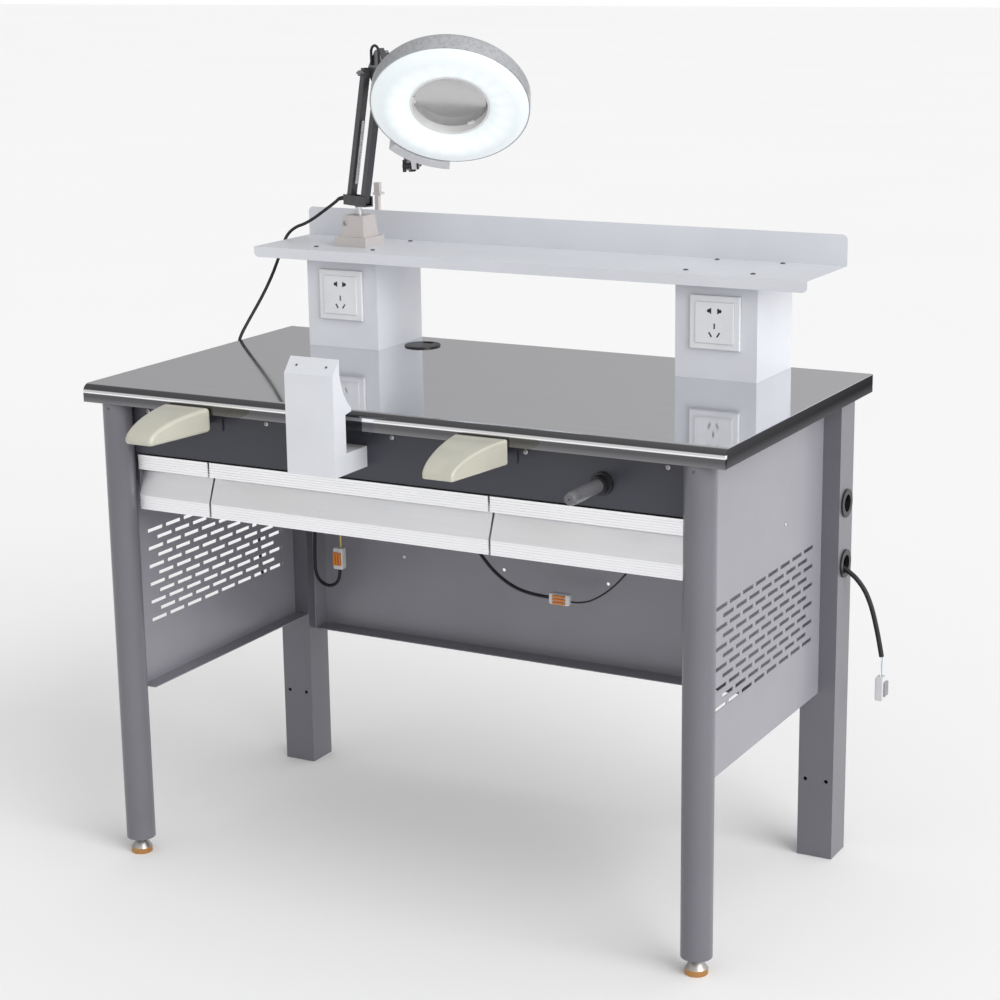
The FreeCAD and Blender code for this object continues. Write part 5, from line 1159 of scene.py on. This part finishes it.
@dataclass(frozen=True)
class SteelFrame(Assembly):
    """Legs, panels and rails of painted steel, with the screws that show on the bench."""

    looks: tuple[Look, ...] = (
        Look(GREY, 0.3, ("front_leg_left", "front_leg_right", "rear_leg_left", "rear_leg_right")),
        # The panels take the lighter copy of the legs' grey: painted light.
        Look(PANEL_GREY_PAINTED_LIGHT, 0.15, ("side_panel_left", "side_panel_right", "back_panel")),
        Look(FOOT, 0.3, ("foot_left", "foot_right")),
        Look(DARK, 0.3, ("frame_rails",)),
        Look(DARK, 0.15, ("fascia_panel",)),
        Look(BLACK, 0.2, ("leg_grommets",)),
    )
    fascia_x_mm: tuple[float, ...] = (-454.0, -227.0, 0.0, 227.0, 454.0)
    fascia_front: float = -0.20725
    fascia_height: float = 0.758
    shelf_height: float = 0.970
    post_x_mm: float = 347.0
    post_y_mm: float = 281.25
    post_screw_x_mm: float = 57.0
    post_screw_y_mm: float = 62.5
    hood_x_mm: tuple[float, ...] = (-113.5, -61.5)
    hood_front: float = -0.28725
    hood_height: float = 0.87325
    panel_depth: float = 0.10775
    panel_height: float = 0.606
    leg_height: float = 0.763
    set_screw: Point = (-0.3625, 0.2485, 1.009)

    def build(self) -> None:
        """Make the screws of the fascia, the shelf, the hood, the side panels, the legs and the lamp's base."""
        fascia = [((x * MM, self.fascia_front, self.fascia_height), Axis.FRONT) for x in self.fascia_x_mm]
        shelf = [
            ((x * MM, y * MM, self.shelf_height), Axis.UP)
            for post in (-self.post_x_mm, self.post_x_mm)
            for x in (post - self.post_screw_x_mm, post + self.post_screw_x_mm)
            for y in (self.post_y_mm - self.post_screw_y_mm, self.post_y_mm + self.post_screw_y_mm)
        ]
        hood = [((x * MM, self.hood_front, self.hood_height), Axis.HOOD_TOP) for x in self.hood_x_mm]
        panels, legs = [], []
        for side, axis in (("left", Axis.LEFT), ("right", Axis.RIGHT)):
            panel_low, panel_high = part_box("side_panel_" + side)
            face = panel_low.x if axis is Axis.LEFT else panel_high.x
            panels.append(((face, self.panel_depth, self.panel_height), axis))
            leg_low, leg_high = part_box("front_leg_" + side)
            legs.append((((leg_low.x + leg_high.x) / 2.0, leg_low.y, self.leg_height), Axis.FRONT))
        dark, zinc, bright = BLACKENED.build(), SCREW_ZINC.build(), BRIGHT.build()
        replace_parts(ScrewHeads("fascia_screw_heads", fascia).build(zinc), "panel_screws")
        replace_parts(ScrewHeads("shelf_screw_heads", shelf).build(dark), "panel_screws")
        ScrewHeads("hood_screw_heads", hood, radius_mm=1.9, height_mm=0.9).build(dark)
        ScrewHeads("panel_side_screws", panels, radius_mm=3.4, height_mm=1.6).build(bright)
        ScrewHeads("leg_top_screws", legs, radius_mm=2.0, height_mm=1.0).build(dark)
        ScrewHeads("base_set_screw", [(self.set_screw, Axis.FRONT)], radius_mm=4.2, height_mm=3.0).build(zinc)


@dataclass(frozen=True)
class Drawers(Assembly):
    """Three drawers with ribbed aluminium fronts."""

    looks: tuple[Look, ...] = (
        Look(TRAY_GREY, 0.15, ("drawer_left_tray", "drawer_middle_tray", "drawer_right_tray")),
        Look(ANODISED, 0.15, ("drawer_left_front", "drawer_middle_front", "drawer_right_front")),
        Look(DARK, 0.15, ("drawer_housing",)),
        Look(ZINC, 0.15, ("drawer_rails",)),
    )


@dataclass(frozen=True)
class FrontFittings(Assembly):
    """Dust hood, finger rests and air gun along the front edge."""

    looks: tuple[Look, ...] = (
        Look(WHITE, 0.2, ("dust_hood",)),
        Look(CREAM, 7.0, ("finger_rest_left", "finger_rest_right"), steps=5),
        Look(DARK, 0.2, ("rest_brackets",)),
        Look(BLACK, 0.3, ("air_gun_holder",)),
        Look(GUN, 0.2, ("air_gun",)),
    )


@dataclass(frozen=True)
class ShelfUnit(Assembly):
    """Two socket posts and the shelf on them."""

    looks: tuple[Look, ...] = (
        Look(WHITE, 0.2, ("post_left", "post_right", "shelf")),
        Look(BASE_PALE, 0.2, ("tool_hook",)),
    )
    post_x: float = 0.347
    post_front: float = 0.20775
    socket_height: float = 0.892

    def build(self) -> None:
        """Make the two mains sockets."""
        white, dark = SOCKET_WHITE.build(), BLACK.build()
        for side, x in (("left", -self.post_x), ("right", self.post_x)):
            MainsSocket("socket_" + side, (x, self.post_front, self.socket_height)).build(white, dark)


@dataclass(frozen=True)
class MagnifierLamp(Assembly):
    """Ring lamp with a lens, on its spring-balanced arm."""

    looks: tuple[Look, ...] = (
        Look(TUBE, 0.1, ("lower_tube_front", "lower_tube_rear", "upper_tube_front", "upper_tube_rear")),
        Look(BASE_PALE, 0.3, ("lamp_base",)),
        Look(CHROMED, 0.2, ("lamp_swivel",)),
        Look(LAMP_METAL, 0.2, ("elbow_plate", "head_bracket")),
        Look(SHEATH, 0.0, ("elbow_lead",)),
        Look(BLACK, 0.3, ("head_yoke",)),
        Look(RING_PALE, 0.2, ("lens_ring",)),
        Look(HAMMER, 0.2, ("head_shell",)),
        Look(DIFFUSER, 0.0, ("lamp_diffuser",)),
        Look(LENS_GLASS_PAINTED_SHADE, 0.0, ("magnifier_lens",)),
        Look(PALE, 0.3, ("switch_box",)),
    )
    springs: tuple[BalanceSpring, ...] = (
        BalanceSpring(
            "lower_balance_spring",
            "lower_spring",
            "lower_rear",
            seat=(-0.347946, 0.261125, 1.077782),
            along=(0.21752, -0.09368, 0.97155),
            out=(0.89232, -0.38429, -0.23684),
            length_mm=110.7,
            turns=82,
        ),
        BalanceSpring(
            "upper_balance_spring",
            "upper_spring",
            "upper_front",
            seat=(-0.273473, 0.246255, 1.270490),
            along=(0.53334, -0.22969, -0.81412),
            out=(-0.74772, 0.32202, -0.58070),
            length_mm=67.5,
            turns=50,
        ),
    )

    def build(self) -> None:
        """Make the two balance springs."""
        bright = BRIGHT.build()
        for spring in self.springs:
            spring.build(bright)


@dataclass(frozen=True)
class LampLead:
    """The lamp's cord: over the shelf's end, down the back, round a small coil and to its plug."""

    diameter: float = 0.0056
    length: float = 1.86
    coil_middle: Point = (-0.30525, 0.33035, 0.374)
    coil_radius: float = 0.028
    coil_pitch: float = 0.0062
    coil_points: int = 20
    coil_turns: float = 3.75
    tail_drops: tuple[float, ...] = (0.009, 0.018, 0.028)
    plug_edge_mm: float = 0.3
    tie: CoilTie = CoilTie("coil_tie", hole=(-0.30525, 0.32575, 0.402), coil_front=0.32755, coil_back=0.3564)

    def route(self) -> list[Point]:
        """Return the cord's points, where the coil is a helix along the bench's depth."""
        lead = [
            (-378.63, 274.34, 1049.5), (-394.24, 281.06, 1047.5), (-405, 286.75, 1040), (-429, 289.75, 1025),
            (-453, 293.75, 1010), (-478, 297.75, 997), (-500, 299.75, 990), (-519, 298.75, 975),
            (-527, 291.75, 947), (-532, 267.75, 905), (-541, 244.75, 868), (-554, 220.75, 830),
            (-564, 203.75, 800), (-567, 198.75, 765), (-566.5, 202.75, 715), (-565, 214.75, 640),
            (-564, 225.75, 565), (-563.5, 235.75, 490), (-564, 241.75, 415), (-565, 244.75, 378),
            (-565.5, 250.75, 350), (-565.5, 263.75, 330), (-564, 282.75, 317), (-560.5, 303.75, 310.5),
            (-552, 323.75, 308.5), (-538, 338.75, 309), (-518, 346.25, 311), (-494, 348.25, 315),
            (-462, 346.25, 321.5), (-425, 342.25, 330), (-388, 337.25, 338), (-352, 332.25, 344),
        ]
        x, y, z = self.coil_middle
        grown = self.coil_radius / math.cos(math.pi / self.coil_points)
        coil = []
        for step in range(int(self.coil_points * self.coil_turns) + 1):
            turn = FULL_TURN * step / self.coil_points
            depth = self.coil_pitch * step / self.coil_points
            coil.append((x + grown * math.sin(turn), y + depth, z - grown * math.cos(turn)))
        tail = [(*coil[-1][:2], z - drop) for drop in self.tail_drops]
        return metres(lead) + coil + tail

    def build(self, sheath: Material, white: Material) -> None:
        """Make the cord, with its plug, its coil's tie and two strain reliefs."""
        route = self.route()
        dress("lamp_plug", BLACK.build(), self.plug_edge_mm)
        riders = [
            node("lamp_plug"),
            StrainRelief("lamp_relief", route, thick_mm=4.2, thin_mm=3.2).build(sheath),
            StrainRelief("plug_relief", route[:-4:-1], thick_mm=4.4, thin_mm=3.3).build(sheath),
            *self.tie.build(white),
        ]
        nodes = ("lamp_cord", "lamp_coil")
        lead = Cord("lamp_lead", nodes, route, self.diameter, self.length, "plug", "medium", "coiled")
        lead.build(sheath, riders)


@dataclass(frozen=True)
class MainsLead:
    """The cable out of the right-hand rear leg, with three bare wires and their connector."""

    diameter: float = 0.008
    length: float = 0.185
    depth_mm: float = 295.75
    end_x_mm: float = 604.0
    wire_diameter: float = 0.0015
    wire_length: float = 0.033
    wire_pitch_mm: float = 2.4
    wire_heights_mm: tuple[float, ...] = (352.0, 341.0, 330.0, 319.0)
    wires: tuple[Rubber, ...] = (WIRE_WHITE, WIRE_GREEN, WIRE_BLUE)

    def build(self, sheath: Material) -> None:
        """Make the connector, the cable and its wires."""
        spots = [(516, 502.3), (548, 487.3), (570, 465), (583, 439), (592, 408), (599, 378), (604, 352)]
        route = metres([(x, self.depth_mm, z) for x, z in spots])
        (start,) = metres([(self.end_x_mm, self.depth_mm, self.wire_heights_mm[-1])])
        block = LeverConnector("connector_mains", start, (0, 0, -1), Axis.RIGHT.value)
        fitting = block.build(PALE.build(), CLIP_GREY.build())
        Cord("mains_lead", ("mains_cable",), route, self.diameter, self.length, "bare").build(sheath, [])
        for number, finish in enumerate(self.wires, start=1):
            side = self.depth_mm + self.wire_pitch_mm * (number - 2)
            wire = metres([(self.end_x_mm, side, z) for z in self.wire_heights_mm])
            name, nodes = f"mains_wire_{number}", ("mains_cable",)
            cord = Cord(name, nodes, wire, self.wire_diameter, self.wire_length, "connector", "limp")
            cord.build(finish.build(), [fitting])


@dataclass(frozen=True)
class HangingLoop:
    """One lead behind the drawers: a cable that hangs down, its connector, and a thin wire back up."""

    side: str
    cable_mm: list[Point]
    wire_mm: list[Point]
    along: Point
    cable_length: float
    wire_length: float
    wire_finish: Rubber
    cable_diameter: float = 0.006
    wire_diameter: float = 0.003

    def build(self, sheath: Material, white: Material, lever: Material) -> None:
        """Make the connector at the cable's end, the cable and the wire."""
        cable, wire = metres(self.cable_mm), metres(self.wire_mm)
        nodes = ("loop_" + self.side,)
        block = LeverConnector("connector_" + self.side, cable[-1], self.along, Axis.FRONT.value)
        fitting = block.build(white, lever)
        name = "loop_lead_" + self.side
        thick = Cord(name, nodes, cable, self.cable_diameter, self.cable_length, "connector", "limp")
        thick.build(sheath, [fitting])
        name = "loop_wire_" + self.side
        thin = Cord(name, nodes, wire, self.wire_diameter, self.wire_length, "object", "limp")
        thin.build(self.wire_finish.build(), [])


class Cords:
    """Every free cord, with its connectors, tie and reliefs."""

    def build(self) -> None:
        """Make every cord and the pieces on it."""
        sheath, white, lever = SHEATH.build(), SOCKET_WHITE.build(), LEVER.build()
        LampLead().build(sheath, white)
        MainsLead().build(sheath)
        for loop in self.loops():
            loop.build(sheath, white, lever)

    def loops(self) -> list[HangingLoop]:
        """Return the two leads that hang behind the drawers."""
        left = [
            (-440, 198.75, 690), (-440, 217.75, 690), (-441, 242.75, 680), (-443, 253.75, 650),
            (-446, 255.75, 590), (-449, 256.75, 520), (-453, 257.75, 450), (-455, 257.75, 405),
            (-455, 258.25, 362), (-428, 257.75, 346), (-402, 257.75, 360), (-402, 257.75, 384),
        ]
        left_wire = [
            (-398.7, 257.75, 424), (-398.7, 257.75, 438), (-397.5, 257.75, 464), (-391, 257.75, 510),
            (-389, 256.75, 570), (-388, 254.75, 640), (-388, 243.75, 680), (-388, 222.75, 692),
            (-388, 198.75, 692),
        ]
        right = [
            (-150, 198.75, 690), (-150, 222.75, 690), (-150, 243.75, 678), (-150, 254.75, 645),
            (-149, 257.75, 580), (-141, 257.75, 515), (-126, 257.75, 468), (-110, 257.75, 444),
            (-83, 257.75, 416), (-46, 257.75, 394), (-4, 257.75, 386), (24, 257.75, 386),
        ]
        right_wire = [
            (64, 257.75, 382.7), (78, 257.75, 382.7), (104, 257.75, 390), (140, 257.75, 415),
            (168, 257.75, 446), (195, 257.75, 480), (212, 257.75, 520), (222, 257.75, 580),
            (225, 257.75, 640), (225, 247.75, 680), (225, 222.75, 692), (225, 198.75, 692),
        ]
        return [
            HangingLoop("left", left, left_wire, (0, 0, 1), 0.44, 0.30, WIRE_YELLOW),
            HangingLoop("right", right, right_wire, (1, 0, 0), 0.44, 0.42, SHEATH),
        ]


def main() -> None:
    """Dress the bench, add its cords and small fittings, and light it."""
    logging.basicConfig(level=logging.INFO)
    PhotoCamera().build()
    Studio().build()
    steel, shelf, lamp = SteelFrame(), ShelfUnit(), MagnifierLamp()
    for assembly in (Cords(), steel, shelf, lamp):
        assembly.build()
    for assembly in (steel, Worktop(), Drawers(), FrontFittings(), shelf, lamp):
        assembly.dress()


if __name__ == "__main__":
    main()
